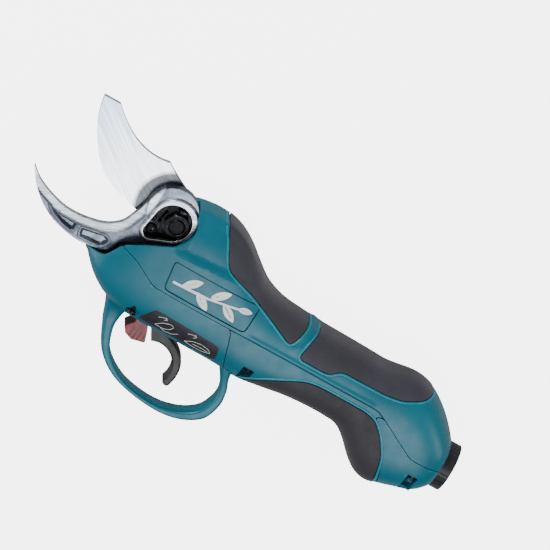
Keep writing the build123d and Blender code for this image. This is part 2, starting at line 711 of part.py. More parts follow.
def connector_ring():
    """Turning coupling ring with a ribbed rim."""
    ring = tube(COUPLING_R, COUPLING_BORE, COUPLING_X0, COUPLING_X1, INLET_Y, 0)
    ring = ring - tube(COUPLING_BORE + 1, COUPLING_BORE - 1, 213.7, 230, INLET_Y, 0)
    ribs = []
    for index in range(36):
        if index % 9 < 5:
            y, z = on_circle((INLET_Y, 0), COUPLING_R, index * 10)
            ribs.append(shaft(0.45, COUPLING_X0 + 0.8, COUPLING_X1 - 0.8, y, z))
    return ring - ribs


def wire_harness():
    """Three wires from the inlet's contacts to the board, and three from the board to the motor."""
    wires = []
    for index, z in enumerate((-5.0, -8.0, -11.0)):
        wires.append(wire([(183.6, -48 - 3 * index, z), (177.6, -50 - 3 * index, z),
                           (170, -46 - 3 * index, z)]))
        wires.append(wire([(160, -50 + 3 * index, z), (150, -44 + 2 * index, z),
                           (143.2, -43 + 2 * index, z)]))
    return wires


def wire(points):
    """One insulated wire along a bent path."""
    path = FilletPolyline(points, radius=4)
    start = Plane(origin=path @ 0, z_dir=path % 0)
    return sweep(start * Circle(1.2), path=path)


# ------------------------------------------------------------------ the whole tool
def build():
    """Every sub-part by name, in the working frame."""
    parts = housing_parts()
    pins = [cross_pin(TRIGGER_PIN_AT, TRIGGER_PIN_R), cross_pin(LEVER_PIN_AT, LEVER_PIN_R)]
    parts["front_lower_housing"] = parts["front_lower_housing"] + pin_posts() - pins
    for host in ("name_plate", "upper_housing"):
        parts[host] = parts[host] - twig_emblem()
    parts.update({
        "twig_emblem": twig_emblem(), "housing_screws": housing_screws(),
        "cutting_blade": cutting_blade(), "pivot_bush": pivot_bush(), "crank_pin": crank_pin(),
        "hook_blade": hook_blade(), "hook_blade_screws": tang_screws(),
        "lock_plate": lock_plate(), "lock_plate_screws": lock_plate_screws(),
        "pivot_bolt": pivot_bolt(), "pivot_nut": pivot_nut(), "head_frame": head_frame(),
        "link_plate": link_plate(), "ball_nut": ball_nut(), "nut_pin": nut_pin(),
        "ball_screw": ball_screw(), "screw_bearing": screw_bearing(),
        "planet_carrier": planet_carrier(), "ring_gear": ring_gear(), "gear_case": gear_case(),
        "motor_can": motor_can(), "motor_magnets": motor_magnets(), "motor_rotor": motor_rotor(),
        "motor_shaft": motor_shaft(), "motor_bearings": motor_bearings(),
        "motor_end_cap": motor_end_cap(), "control_board": control_board(),
        "board_parts": board_parts(), "trigger": trigger() - trigger_magnet(),
        "lock_lever": lock_lever(), "trigger_magnet": trigger_magnet(),
        "trigger_pin": cross_pin(TRIGGER_PIN_AT, TRIGGER_PIN_R),
        "lock_pin": cross_pin(LEVER_PIN_AT, LEVER_PIN_R),
        "trigger_spring": trigger_spring(), "lock_spring": lock_spring(),
        "trigger_sensor": trigger_sensor(), "connector_body": connector_body(),
        "connector_contacts": connector_contacts(), "connector_seal": connector_seal(),
        "connector_ring": connector_ring(), "wire_harness": wire_harness(),
    })
    for index in range(PLANET_COUNT):
        parts[f"planet_gear_{index + 1}"] = planet_gear(index)
    return parts


def solids_of(shape):
    """All solids in a shape or in a list of shapes."""
    if isinstance(shape, (list, tuple)):
        return [solid for item in shape for solid in solids_of(item)]
    return list(shape.solids())


def place(parts):
    """Moves every piece so that the box's bottom centre is the origin, and returns the shift."""
    bodies = {name: solids_of(shape) for name, shape in parts.items()}
    box = Compound(children=[solid for group in bodies.values() for solid in group]).bounding_box()
    shift = Vector(-(box.min.X + box.max.X) / 2, -(box.min.Y + box.max.Y) / 2, -box.min.Z)
    moved = {}
    for name, group in bodies.items():
        moved[name] = Compound([solid.moved(Location(shift)) for solid in group])
    return moved, shift


PARTS, SHIFT = place(build())
for part_name, part_shape in PARTS.items():
    export_step(part_shape, f"parts/{part_name}.step")
print("nodes", len(PARTS), "shift", SHIFT)
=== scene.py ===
"""Looks of a battery pruner handpiece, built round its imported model.

Sizes are in millimetres in the working frame, whose origin is the blade pivot: +x runs to the
tail, +y to the top of the tool and +z to its left side. WorkFrame turns them into metres.
"""

import json
import logging
import math
from dataclasses import dataclass, field
from enum import Enum
from typing import Callable, Sequence

import bmesh
import bpy
import numpy as np
from mathutils import Matrix, Vector


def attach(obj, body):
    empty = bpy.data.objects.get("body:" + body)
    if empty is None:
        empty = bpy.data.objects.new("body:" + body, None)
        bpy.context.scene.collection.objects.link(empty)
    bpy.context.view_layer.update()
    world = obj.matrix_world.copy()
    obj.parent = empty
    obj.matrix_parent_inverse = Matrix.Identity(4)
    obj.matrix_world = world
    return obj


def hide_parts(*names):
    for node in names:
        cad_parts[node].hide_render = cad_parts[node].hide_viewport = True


logging.basicConfig(level=logging.INFO, format="%(message)s")
LOG = logging.getLogger("pruner")

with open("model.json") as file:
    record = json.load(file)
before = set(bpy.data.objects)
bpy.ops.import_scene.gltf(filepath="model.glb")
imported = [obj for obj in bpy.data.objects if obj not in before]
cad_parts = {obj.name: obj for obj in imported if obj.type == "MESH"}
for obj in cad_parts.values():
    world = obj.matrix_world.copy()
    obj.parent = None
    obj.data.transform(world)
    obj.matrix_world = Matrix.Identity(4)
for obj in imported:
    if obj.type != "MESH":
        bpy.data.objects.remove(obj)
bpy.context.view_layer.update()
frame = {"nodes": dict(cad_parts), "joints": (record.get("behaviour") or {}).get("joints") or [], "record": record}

Array = np.ndarray
Points = Sequence[tuple[float, float]]
Keep = Callable[[Array, Array, Array], Array]


class Side(Enum):
    """Which flank of the tool a piece is on; the value is the sign of z."""

    LEFT = 1
    RIGHT = -1


class Body(Enum):
    """The moving bodies that pieces ride on."""

    HOUSING = "housing"
    CUTTING_BLADE = "cutting_blade"
    TRIGGER = "trigger"
    LOCK_LEVER = "lock_lever"
    COUPLING = "coupling_ring"


@dataclass(frozen=True)
class WorkFrame:
    """Turns millimetres from the blade pivot into metres in the row frame."""

    pivot: tuple[float, float, float]

    def place(self, points: Array) -> Array:
        """Metres in the row frame for points in the working frame."""
        return points / 1000.0 + np.array(self.pivot)


def pivot_joint() -> tuple[float, float, float]:
    """Where the blade pivot is, in metres."""
    return tuple(next(j["pos_m"] for j in frame["joints"] if j["name"] == "blade_pivot"))


WORK = WorkFrame(pivot_joint())


# ---------------------------------------------------------------- outlines in the side view
def bell(offsets: Array, width: float) -> Array:
    """A bell curve: e to the minus half the square of offset over width."""
    return np.exp(-0.5 * (offsets / width) ** 2)


def ramp(value: Array, low: float, high: float) -> Array:
    """Smooth step: 0 below low, 1 above high, 3t^2 - 2t^3 between."""
    t = np.clip((value - low) / (high - low), 0.0, 1.0)
    return t * t * (3.0 - 2.0 * t)


def densify(points: Points, step: float, closed: bool) -> Array:
    """Points at an even step along a run of straight lines.

    Args:
        points: corners of the run.
        step: spacing in millimetres.
        closed: whether the last corner joins the first.

    Returns:
        An array of n by 2 places.
    """
    corners = np.array(points, float)
    if closed:
        corners = np.vstack([corners, corners[:1]])
    lengths = np.concatenate([[0.0], np.cumsum(np.hypot(*np.diff(corners, axis=0).T))])
    count = max(int(lengths[-1] / step), 8)
    at = np.linspace(0.0, lengths[-1], count, endpoint=not closed)
    return np.stack([np.interp(at, lengths, corners[:, k]) for k in range(2)], axis=1)


def soften(path: Array, width: float, step: float, closed: bool) -> Array:
    """A path blurred along its length with a bell of the given width, ends kept.

    Args:
        path: n by 2 or n by 3 points, evenly spaced.
        width: bell width in millimetres; corners end up about this round.
        step: spacing of the points.
        closed: whether the path closes on itself.

    Returns:
        The blurred path, same shape.
    """
    if width <= 0:
        return path
    reach = max(int(3 * width / step), 1)
    weights = bell(np.arange(-reach, reach + 1) * step, width)
    weights /= weights.sum()
    if closed:
        padded = np.take(path, np.arange(-reach, len(path) + reach) % len(path), axis=0)
    else:
        before = 2 * path[0] - path[1:reach + 1][::-1]
        after = 2 * path[-1] - path[-reach - 1:-1][::-1]
        padded = np.vstack([before, path, after])
    columns = [np.convolve(padded[:, k], weights, "valid") for k in range(path.shape[1])]
    return np.stack(columns, axis=1)


def cubic(knots: Array, values: Array, at: Array) -> Array:
    """Piecewise cubic through the knots, with slopes taken from the neighbours."""
    slopes = np.gradient(values, knots)
    i = np.clip(np.searchsorted(knots, at, side="right") - 1, 0, len(knots) - 2)
    span = knots[i + 1] - knots[i]
    t = (at - knots[i]) / span
    start = (2 * t ** 3 - 3 * t ** 2 + 1) * values[i] + (t ** 3 - 2 * t ** 2 + t) * span * slopes[i]
    return start + (3 * t ** 2 - 2 * t ** 3) * values[i + 1] + (t ** 3 - t ** 2) * span * slopes[i + 1]


class Outline:
    """A closed outline in the side view with a signed distance, positive inside."""

    def __init__(self, points: Points, rounding: float = 1.5, cell: float = 0.7) -> None:
        """Works the distance out on a lattice once.

        Args:
            points: corners in the side view.
            rounding: how far the corners are softened.
            cell: lattice spacing.
        """
        step = 0.5
        self.path = soften(densify(points, step, True), rounding, step, True)
        self.cell = cell
        self.low = self.path.min(axis=0) - 6.0
        size = np.ceil((self.path.max(axis=0) + 6.0 - self.low) / cell).astype(int) + 1
        gx, gy = np.meshgrid(*[self.low[k] + cell * np.arange(size[k]) for k in (0, 1)],
                             indexing="ij")
        self.lattice = self._exact(gx.ravel(), gy.ravel()).reshape(gx.shape)

    def _exact(self, x: Array, y: Array) -> Array:
        """Distance to the nearest side of the outline; the even-odd rule gives the sign."""
        start = self.path.astype(np.float32)
        end = np.roll(start, -1, axis=0)
        x, y = x.astype(np.float32)[:, None], y.astype(np.float32)[:, None]
        best = np.full(len(x), 1e9, np.float32)
        crossings = np.zeros(len(x), int)
        for first in range(0, len(start), 48):
            a, b = start[first:first + 48], end[first:first + 48]
            dx, dy = b[:, 0] - a[:, 0], b[:, 1] - a[:, 1]
            t = ((x - a[:, 0]) * dx + (y - a[:, 1]) * dy) / (dx * dx + dy * dy + 1e-12)
            t = np.clip(t, 0, 1)
            gap = (x - a[:, 0] - t * dx) ** 2 + (y - a[:, 1] - t * dy) ** 2
            best = np.minimum(best, gap.min(axis=1))
            spans = (a[:, 1] > y) != (b[:, 1] > y)
            meets = a[:, 0] + (y - a[:, 1]) * dx / np.where(np.abs(dy) < 1e-9, 1e-9, dy)
            crossings += (spans & (x < meets)).sum(axis=1)
        return np.where(crossings % 2 == 1, 1.0, -1.0) * np.sqrt(best)

    def distance(self, x: Array, y: Array) -> Array:
        """Signed distance, blended from the four lattice points round each place."""
        u = (x - self.low[0]) / self.cell
        v = (y - self.low[1]) / self.cell
        far = np.hypot(np.maximum(np.maximum(-u, u - self.lattice.shape[0] + 1), 0),
                       np.maximum(np.maximum(-v, v - self.lattice.shape[1] + 1), 0))
        i = np.clip(np.floor(u).astype(int), 0, self.lattice.shape[0] - 2)
        j = np.clip(np.floor(v).astype(int), 0, self.lattice.shape[1] - 2)
        p, q = np.clip(u - i, 0, 1), np.clip(v - j, 0, 1)
        near = (self.lattice[i, j] * (1 - p) * (1 - q) + self.lattice[i + 1, j] * p * (1 - q)
                + self.lattice[i, j + 1] * (1 - p) * q + self.lattice[i + 1, j + 1] * p * q)
        return near - np.where(far > 0, far * self.cell, 0.0)


# ---------------------------------------------------------------- the body's skin
STATIONS = (
    (-36, -34, -41, 7, 2.6), (-29, -26, -48.5, 12.5, 2.8), (-19, -9, -56, 17, 3.0),
    (-9, 8, -60.5, 19.5, 3.1), (1, 14.6, -62.5, 21, 3.2), (14, 17.8, -63, 22.5, 3.2),
    (26, 17.6, -63, 23, 3.2), (36, 14.9, -63, 23, 3.2), (46, 9.2, -63, 23, 3.2),
    (56, 1.1, -63, 22.8, 3.1), (66, -6.4, -63.4, 22.4, 3.0), (78, -11.1, -64, 22.2, 2.9),
    (93, -13, -62, 22, 2.8), (108, -14.1, -59.4, 22, 2.8), (121, -14.5, -58.4, 22, 2.8),
    (134, -14.8, -58.4, 22, 2.8), (143, -15.1, -59.6, 22, 2.8), (151, -15.2, -65.4, 22, 2.8),
    (159, -13.9, -73.4, 22, 2.8), (167, -12.4, -79.4, 22.2, 2.8), (175, -12.6, -81.4, 22.5, 2.8),
    (183, -15.2, -79.4, 22.5, 2.8), (193, -21.7, -76, 22.3, 2.8), (201, -28.9, -73, 21, 2.9),
    (206.5, -35, -68, 18.5, 3.0), (208.5, -37.5, -65.5, 16.5, 3.0),
)
INLET_Y, INLET_HOLE = -52.4, 12.6


class Skin:
    """The outer face of the housing as a function of x and the angle phi round the section.

    At each x the section is a rounded box: with r = (|cos phi|^n + |sin phi|^n)^(-1/n), y is the
    middle height plus half the height times r sin phi, and z is the half width times r cos phi.
    Half heights, width and corner power n run smoothly between the stations.
    """

    nose_x = float(STATIONS[0][0])
    tail_x = float(STATIONS[-1][0])
    cap = 1.0

    def __init__(self) -> None:
        """Fits a smooth curve through each column of the station table."""
        table = np.array(STATIONS, float)
        knots = table[:, 0]
        self.at = np.arange(knots[0], knots[-1] + 0.01, 0.25)
        columns = [cubic(knots, table[:, k], self.at) for k in range(1, 5)]
        self.columns = soften(np.stack(columns, axis=1), 1.6, 0.25, False)

    def size_at(self, x: Array) -> tuple[Array, Array, Array, Array]:
        """Middle height, half height, half width and corner power at x."""
        top, bottom, width, power = [np.interp(x, self.at, self.columns[:, k]) for k in range(4)]
        return (top + bottom) / 2, (top - bottom) / 2, width, power

    def surface(self, x: Array, phi: Array) -> Array:
        """Points of the plain skin; past both ends x counts along the closing caps."""
        middle, height, width, power = self.size_at(x)
        c, s = np.cos(phi), np.sin(phi)
        r = (np.abs(c) ** power + np.abs(s) ** power) ** (-1 / power)
        y, z = middle + height * r * s, width * r * c
        tail = np.clip((x - self.tail_x) / self.cap, 0, 1)
        y = (1 - tail) * y + tail * (INLET_Y + INLET_HOLE * s)
        z = (1 - tail) * z + tail * INLET_HOLE * c
        nose = np.clip((self.nose_x - x) / self.cap, 0, 1) * math.pi / 2
        y = middle + (y - middle) * np.where(nose > 0, np.cos(nose), 1.0)
        z = z * np.where(nose > 0, np.cos(nose), 1.0)
        px = np.clip(x, self.nose_x, self.tail_x) - 2.2 * np.sin(nose)
        px = px + 0.5 * np.sin(tail * math.pi / 2)
        return np.stack([px, y, z], axis=-1)

    def normal(self, x: Array, phi: Array) -> Array:
        """Outward direction: the slope along x crossed with the slope along phi."""
        along = self.surface(x + 0.3, phi) - self.surface(x - 0.3, phi)
        around = self.surface(x, phi + 0.012) - self.surface(x, phi - 0.012)
        n = np.cross(along, around)
        return n / np.maximum(np.linalg.norm(n, axis=-1, keepdims=True), 1e-9)

    def relief(self, points: Array) -> Array:
        """How far the moulded form stands out from the plain skin, in millimetres.

        The head is drawn in above a shoulder that runs back from the blades, a soft rib runs
        along the flank above the seam, and the band between the two top grips stands proud.
        """
        x, y, z = points[..., 0], points[..., 1], np.abs(points[..., 2])
        flank = ramp(z, 9.0, 16.0)
        shoulder_y = -9.5 + 0.06 * (x - 12.0)
        head = ramp(y, shoulder_y - 1.0, shoulder_y + 3.2) * (1 - ramp(x, 33.0, 60.0))
        drawn_in = -3.4 * head * flank * ramp(x, 2.0, 12.0)
        rib = 0.55 * bell(y + 33.6, 0.9) * flank * ramp(x, 66.0, 72.0) * (1 - ramp(x, 150.0, 156.0))
        lean = np.interp(y, (-30.5, -20.0, -14.0), (96.2, 100.0, 102.4))
        band = 0.9 * bell(x - lean, 2.0) * ramp(y, -31.0, -24.0)
        return drawn_in + rib + band

    def point(self, x: Array, phi: Array, lift: float = 0.0) -> Array:
        """Points of the moulded face, lifted off it by some millimetres."""
        base = self.surface(x, phi)
        return base + (self.relief(base) + lift)[..., None] * self.normal(x, phi)

    def phi_at(self, x: Array, y: Array, side: Side) -> Array:
        """The angle at which the flank has height y."""
        middle, height, _, power = self.size_at(x)
        s = np.clip((y - middle) / height, -0.9999, 0.9999)
        c = (1 - np.abs(s) ** power) ** (1 / power)
        return np.arctan2(s, side.value * c)


@dataclass(frozen=True)
class Window:
    """A range of the skin that a piece is cut from, and the size of its cells."""

    x0: float = Skin.nose_x - Skin.cap
    x1: float = Skin.tail_x + Skin.cap
    phi0: float = -math.pi / 2
    phi1: float = 1.5 * math.pi
    cell: float = 0.8
    girth: float = 30.0

    def axes(self) -> tuple[Array, Array]:
        """Grid lines along x, closer on the caps, and round the section."""
        body = np.linspace(max(self.x0, Skin.nose_x), min(self.x1, Skin.tail_x),
                           max(int((self.x1 - self.x0) / self.cell), 4))
        parts = [body]
        if self.x0 < Skin.nose_x:
            parts.insert(0, np.linspace(self.x0, Skin.nose_x, 9)[:-1])
        if self.x1 > Skin.tail_x:
            parts.append(np.linspace(Skin.tail_x, self.x1, 7)[1:])
        turns = max(int((self.phi1 - self.phi0) * self.girth / self.cell), 8)
        return np.concatenate(parts), np.linspace(self.phi0, self.phi1, turns + 1)


def carve(skin: "Skin | Slate", keep: Keep, window: "Window | Patch",
          lift: float = 0.0) -> tuple[Array, list]:
    """The part of the skin where keep is positive, with its border exactly on keep = 0.

    The grid line ends nearest the border are slid along the slope of keep until they lie on it;
    cells that are then wholly inside stay, and cells cut corner to corner leave a triangle.

    Args:
        skin: the face that is cut.
        keep: signed distance of the wanted region, from x, y and z.
        window: the range and cell size.
        lift: how far the piece stands off the skin.

    Returns:
        Vertices in the working frame and faces.
    """
    xs, phis = window.axes()
    x, phi = [a.copy() for a in np.meshgrid(xs, phis, indexing="ij")]

    def value(px: Array, pphi: Array) -> Array:
        p = skin.surface(px, pphi)
        return keep(p[..., 0], p[..., 1], p[..., 2])

    f = value(x, phi)
    inside = f > 0
    snap = np.zeros_like(inside)
    for axis in (0, 1):
        a = [slice(None), slice(None)]
        b = [slice(None), slice(None)]
        a[axis], b[axis] = slice(None, -1), slice(1, None)
        a, b = tuple(a), tuple(b)
        crosses = inside[a] != inside[b]
        nearer = np.abs(f[a]) <= np.abs(f[b])
        snap[a] |= crosses & nearer
        snap[b] |= crosses & ~nearer
    sx, sphi = x[snap], phi[snap]
    for _ in range(4):
        v = value(sx, sphi)
        e, a = 0.15, 0.006
        gx = (value(sx + e, sphi) - value(sx - e, sphi)) / (2 * e)
        arc = np.linalg.norm(skin.surface(sx, sphi + a) - skin.surface(sx, sphi - a), axis=-1)
        arc = np.maximum(arc / (2 * a), 1.0)
        gphi = (value(sx, sphi + a) - value(sx, sphi - a)) / (2 * a) / arc
        steep = np.maximum(gx ** 2 + gphi ** 2, 0.2)
        reach = 0.8 * window.cell
        sx = sx - np.clip(v * gx / steep, -reach, reach)
        sphi = sphi - np.clip(v * gphi / steep, -reach, reach) / arc
    x[snap], phi[snap] = sx, sphi
    state = np.where(snap, 0, np.where(inside, 1, -1))
    number = np.arange(x.size).reshape(x.shape)
    corner = [number[:-1, :-1], number[1:, :-1], number[1:, 1:], number[:-1, 1:]]
    quads = np.stack([c.ravel() for c in corner], axis=1)
    level = state.ravel()[quads]
    centre = value(*[a.ravel()[quads].mean(axis=1) for a in (x, phi)])
    whole = (level.min(axis=1) >= 0) & ((level.max(axis=1) > 0) | (centre > 0))
    faces = quads[whole].tolist()
    for k in range(4):
        others = [(k + 1) % 4, (k + 2) % 4, (k + 3) % 4]
        part = (level[:, k] < 0) & (level[:, others].min(axis=1) >= 0) & (level[:, others].max(axis=1) > 0)
        faces += quads[part][:, others].tolist()
    points = skin.point(x.ravel(), phi.ravel(), lift)
    corners = (quads[whole].ravel(), [i for t in faces for i in t])
    used = np.unique(np.concatenate([np.array(f) for f in corners]))
    renumber = np.full(x.size, -1)
    renumber[used.astype(int)] = np.arange(len(used))
    return points[used.astype(int)], [[int(renumber[i]) for i in face] for face in faces]


class Slate:
    """A flat sheet for pieces cut from plate: x and y are the parameters, z a height of them."""

    def __init__(self, height: Callable[[Array, Array], Array]) -> None:
        """Keeps the function that gives the top face's height."""
        self.height = height

    def surface(self, x: Array, y: Array) -> Array:
        """The plan of the sheet."""
        return np.stack([x, y, np.zeros_like(x)], axis=-1)

    def point(self, x: Array, y: Array, lift: float = 0.0) -> Array:
        """The top face: (x, y, height of x and y), raised by lift."""
        return np.stack([x, y, self.height(x, y) + lift], axis=-1)


@dataclass(frozen=True)
class Patch:
    """A rectangle of the plan and its cell size."""

    x0: float
    x1: float
    y0: float
    y1: float
    cell: float = 0.6

    def axes(self) -> tuple[Array, Array]:
        """Even grid lines both ways."""
        return (np.arange(self.x0, self.x1 + self.cell, self.cell),
                np.arange(self.y0, self.y1 + self.cell, self.cell))


def cut_plate(height: Callable[[Array, Array], Array], keep: Keep, patch: Patch,
              bottom: float) -> tuple[Array, list]:
    """A plate with a shaped top, a flat bottom and upright sides.

    The bottom repeats the top's plan, and each edge that only one top face uses gets a side.

    Args:
        height: the top's height over the plan.
        keep: signed distance of the plan's outline.
        patch: range and cell size.
        bottom: height of the underside.

    Returns:
        Vertices and faces.
    """
    top, faces = carve(Slate(height), keep, patch)
    under = top.copy()
    under[:, 2] = bottom
    count = len(top)
    loops = np.array([(f[k], f[(k + 1) % len(f)]) for f in faces for k in range(len(f))])
    code = np.sort(loops, axis=1) @ np.array([count, 1])
    _, first, uses = np.unique(code, return_index=True, return_counts=True)
    a, b = loops[first[uses == 1]].T
    sides = np.stack([b, a, a + count, b + count], axis=1).tolist()
    return np.vstack([top, under]), faces + [[i + count for i in face[::-1]] for face in faces] + sides


# ---------------------------------------------------------------- meshes
def make_object(name: str, points: Array, faces: list, closed: bool = False) -> bpy.types.Object:
    """A mesh object from points in the working frame.

    Args:
        name: name of the piece.
        points: n by 3 vertices in millimetres.
        faces: lists of vertex numbers.
        closed: whether to turn the faces outwards, for a closed form.

    Returns:
        The object, at the origin, smooth shaded, with its doubles merged.
    """
    mesh = bpy.data.meshes.new(name)
    mesh.from_pydata(WORK.place(np.asarray(points, float)).tolist(), [], faces)
    work = bmesh.new()
    work.from_mesh(mesh)
    bmesh.ops.remove_doubles(work, verts=work.verts, dist=2e-6)
    if closed:
        bmesh.ops.recalc_face_normals(work, faces=work.faces)
    for face in work.faces:
        face.smooth = True
    work.to_mesh(mesh)
    work.free()
    piece = bpy.data.objects.new(name, mesh)
    bpy.context.scene.collection.objects.link(piece)
    return piece


def grid_faces(rows: int, columns: int, wrap: bool) -> list:
    """Four-sided faces of a grid of rows by columns, optionally joined round the columns."""
    number = np.arange(rows * columns).reshape(rows, columns)
    right = np.roll(number, -1, axis=1) if wrap else number[:, 1:]
    left = number if wrap else number[:, :-1]
    faces = np.stack([left[:-1], left[1:], right[1:], right[:-1]], axis=-1)
    return faces.reshape(-1, 4).tolist()


def sweep(path: Array, up: Array, profile: Array, closed: bool) -> tuple[Array, list]:
    """A profile carried along a path: each point is path + p up + q (direction x up).

    Args:
        path: n by 3 points.
        up: n by 3 unit directions that the profile's first axis follows.
        profile: m by 2 points of the closed profile.
        closed: whether the path joins its start.

    Returns:
        Vertices and faces of a closed form.
    """
    if closed:
        ahead = np.roll(path, -1, axis=0) - np.roll(path, 1, axis=0)
    else:
        ahead = np.gradient(path, axis=0)
    ahead /= np.maximum(np.linalg.norm(ahead, axis=1, keepdims=True), 1e-9)
    across = np.cross(ahead, up)
    across /= np.maximum(np.linalg.norm(across, axis=1, keepdims=True), 1e-9)
    points = (path[:, None, :] + profile[None, :, :1] * up[:, None, :]
              + profile[None, :, 1:] * across[:, None, :])
    rows, columns = points.shape[:2]
    faces = grid_faces(rows, columns, True)
    if closed:
        last, first = (rows - 1) * columns + np.arange(columns), np.arange(columns)
        faces += np.stack([last, first, np.roll(first, -1), np.roll(last, -1)], axis=1).tolist()
    else:
        faces += [list(range(columns)), list(range((rows - 1) * columns, rows * columns))]
    return points.reshape(-1, 3), faces


def superellipse(half_a: float, half_b: float, power: float, count: int) -> Array:
    """A rounded box profile: a sgn(cos)|cos|^(2/n), b sgn(sin)|sin|^(2/n)."""
    angle = 2 * math.pi * (np.arange(count) + 0.5) / count
    c, s = np.cos(angle), np.sin(angle)
    r = (np.abs(c) ** power + np.abs(s) ** power) ** (-1 / power)
    return np.stack([half_a * r * c, half_b * r * s], axis=1)


def join(parts: Sequence[tuple[Array, list]]) -> tuple[Array, list]:
    """One mesh from several: the vertices in a row, and each part's faces counted on from the last."""
    starts = np.cumsum([0] + [len(points) for points, _ in parts])
    faces = [[i + start for i in face] for (_, rows), start in zip(parts, starts) for face in rows]
    return np.vstack([points for points, _ in parts]), faces


def thicken(piece: bpy.types.Object, thickness: float) -> None:
    """Gives a sheet a wall on its inner side, in millimetres."""
    wall = piece.modifiers.new("wall", "SOLIDIFY")
    wall.thickness = thickness / 1000
    wall.offset = -1.0


def round_edges(piece: bpy.types.Object, width: float, segments: int = 2, angle: float = 35.0) -> None:
    """Rounds edges sharper than an angle, then evens the normals of the flat faces."""
    rounding = piece.modifiers.new("rounding", "BEVEL")
    rounding.width = width / 1000
    rounding.segments = segments
    rounding.limit_method = "ANGLE"
    rounding.angle_limit = math.radians(angle)
    rounding.use_clamp_overlap = True
    even = piece.modifiers.new("even", "WEIGHTED_NORMAL")
    even.keep_sharp = True


def cad_copy(node: str, name: str, rounding: float, segments: int = 3) -> bpy.types.Object:
    """A copy of a CAD piece with doubles merged, flat faces joined and edges rounded.

    Args:
        node: the CAD node.
        name: the new piece's name.
        rounding: edge radius in millimetres.
        segments: steps across each rounded edge.

    Returns:
        The new object.
    """
    mesh = frame["nodes"][node].data.copy()
    mesh.name = name
    work = bmesh.new()
    work.from_mesh(mesh)
    bmesh.ops.remove_doubles(work, verts=work.verts, dist=2e-6)
    bmesh.ops.dissolve_limit(work, angle_limit=math.radians(0.6), verts=work.verts, edges=work.edges)
    for face in work.faces:
        face.smooth = True
    work.to_mesh(mesh)
    work.free()
    mesh.materials.clear()
    piece = bpy.data.objects.new(name, mesh)
    bpy.context.scene.collection.objects.link(piece)
    round_edges(piece, rounding, segments, 30.0)
    return piece


# ---------------------------------------------------------------- finishes
def linear(colour: str) -> tuple[float, float, float, float]:
    """Scene-linear colour of a six-digit colour code."""
    parts = [int(colour[k:k + 2], 16) / 255 for k in (0, 2, 4)]
    return tuple([p / 12.92 if p <= 0.04045 else ((p + 0.055) / 1.055) ** 2.4 for p in parts] + [1.0])


class Graph:
    """Adds and joins shader nodes in one tree."""

    def __init__(self, tree: bpy.types.NodeTree) -> None:
        """Keeps the tree that nodes go into."""
        self.tree = tree

    def add(self, kind: str, inputs: dict | None = None, **settings: object) -> bpy.types.Node:
        """A node with its settings, and its inputs set or joined.

        Args:
            kind: the node's type name.
            inputs: input name or number to a value or to another node's output.
            settings: attributes of the node.

        Returns:
            The node.
        """
        node = self.tree.nodes.new(kind)
        for key, setting in settings.items():
            setattr(node, key, setting)
        for key, value in (inputs or {}).items():
            if isinstance(value, bpy.types.NodeSocket):
                self.tree.links.new(value, node.inputs[key])
            else:
                node.inputs[key].default_value = value
        return node

    def math(self, operation: str, a: object, b: object = 0.0) -> bpy.types.NodeSocket:
        """One arithmetic step."""
        return self.add("ShaderNodeMath", {0: a, 1: b}, operation=operation).outputs[0]

    def spread(self, value: object, low: float, high: float, to_low: float,
               to_high: float) -> bpy.types.NodeSocket:
        """Maps a range of values onto another, held at both ends."""
        return self.add("ShaderNodeMapRange", {0: value, 1: low, 2: high, 3: to_low, 4: to_high}).outputs[0]

    def blend(self, share: object, a: object, b: object) -> bpy.types.NodeSocket:
        """Mixes two colours."""
        return self.add("ShaderNodeMix", {0: share, 6: a, 7: b}, data_type="RGBA").outputs[2]

    def noise(self, vector: object, scale: float, detail: float = 3.0,
              rough: float = 0.55) -> bpy.types.NodeSocket:
        """Smooth noise from 0 to 1."""
        node = self.add("ShaderNodeTexNoise", {"Vector": vector, "Scale": scale, "Detail": detail,
                                               "Roughness": rough})
        return node.outputs[0]

    def place(self) -> bpy.types.NodeSocket:
        """The place on the piece, in metres."""
        return self.add("ShaderNodeTexCoord").outputs["Object"]


@dataclass(frozen=True)
class Effect:
    """A shader group with named inputs and outputs, built once."""

    name: str
    inputs: tuple[tuple[str, float], ...]
    outputs: tuple[str, ...]
    wire: Callable[[Graph, bpy.types.Node], dict]

    def tree(self) -> bpy.types.NodeTree:
        """The group's tree, made at its first use."""
        if self.name in bpy.data.node_groups:
            return bpy.data.node_groups[self.name]
        tree = bpy.data.node_groups.new(self.name, "ShaderNodeTree")
        for name, value in self.inputs:
            socket = tree.interface.new_socket(name=name, in_out="INPUT", socket_type="NodeSocketFloat")
            socket.default_value = value
        for name in self.outputs:
            tree.interface.new_socket(name=name, in_out="OUTPUT", socket_type="NodeSocketFloat")
        graph = Graph(tree)
        entry = graph.add("NodeGroupInput")
        graph.add("NodeGroupOutput", self.wire(graph, entry))
        return tree

    def use(self, graph: Graph, **values: float) -> bpy.types.Node:
        """Places the group in a material with its own values."""
        node = graph.add("ShaderNodeGroup", node_tree=self.tree())
        for key, value in values.items():
            node.inputs[key.replace("_", " ")].default_value = value
        return node


def wire_grain(graph: Graph, entry: bpy.types.Node) -> dict:
    """Moulded grain: fine noise over coarser noise, as a height from 0 to 1."""
    place = graph.place()
    fine = graph.add("ShaderNodeTexNoise",
                     {"Vector": place, "Scale": entry.outputs["Fineness"], "Detail": 2.0})
    coarse = graph.math("MULTIPLY", entry.outputs["Fineness"], 0.22)
    broad = graph.add("ShaderNodeTexNoise", {"Vector": place, "Scale": coarse, "Detail": 3.0})
    height = graph.math("ADD", graph.math("MULTIPLY", fine.outputs[0], 0.65),
                        graph.math("MULTIPLY", broad.outputs[0], 0.35))
    return {"Height": height}


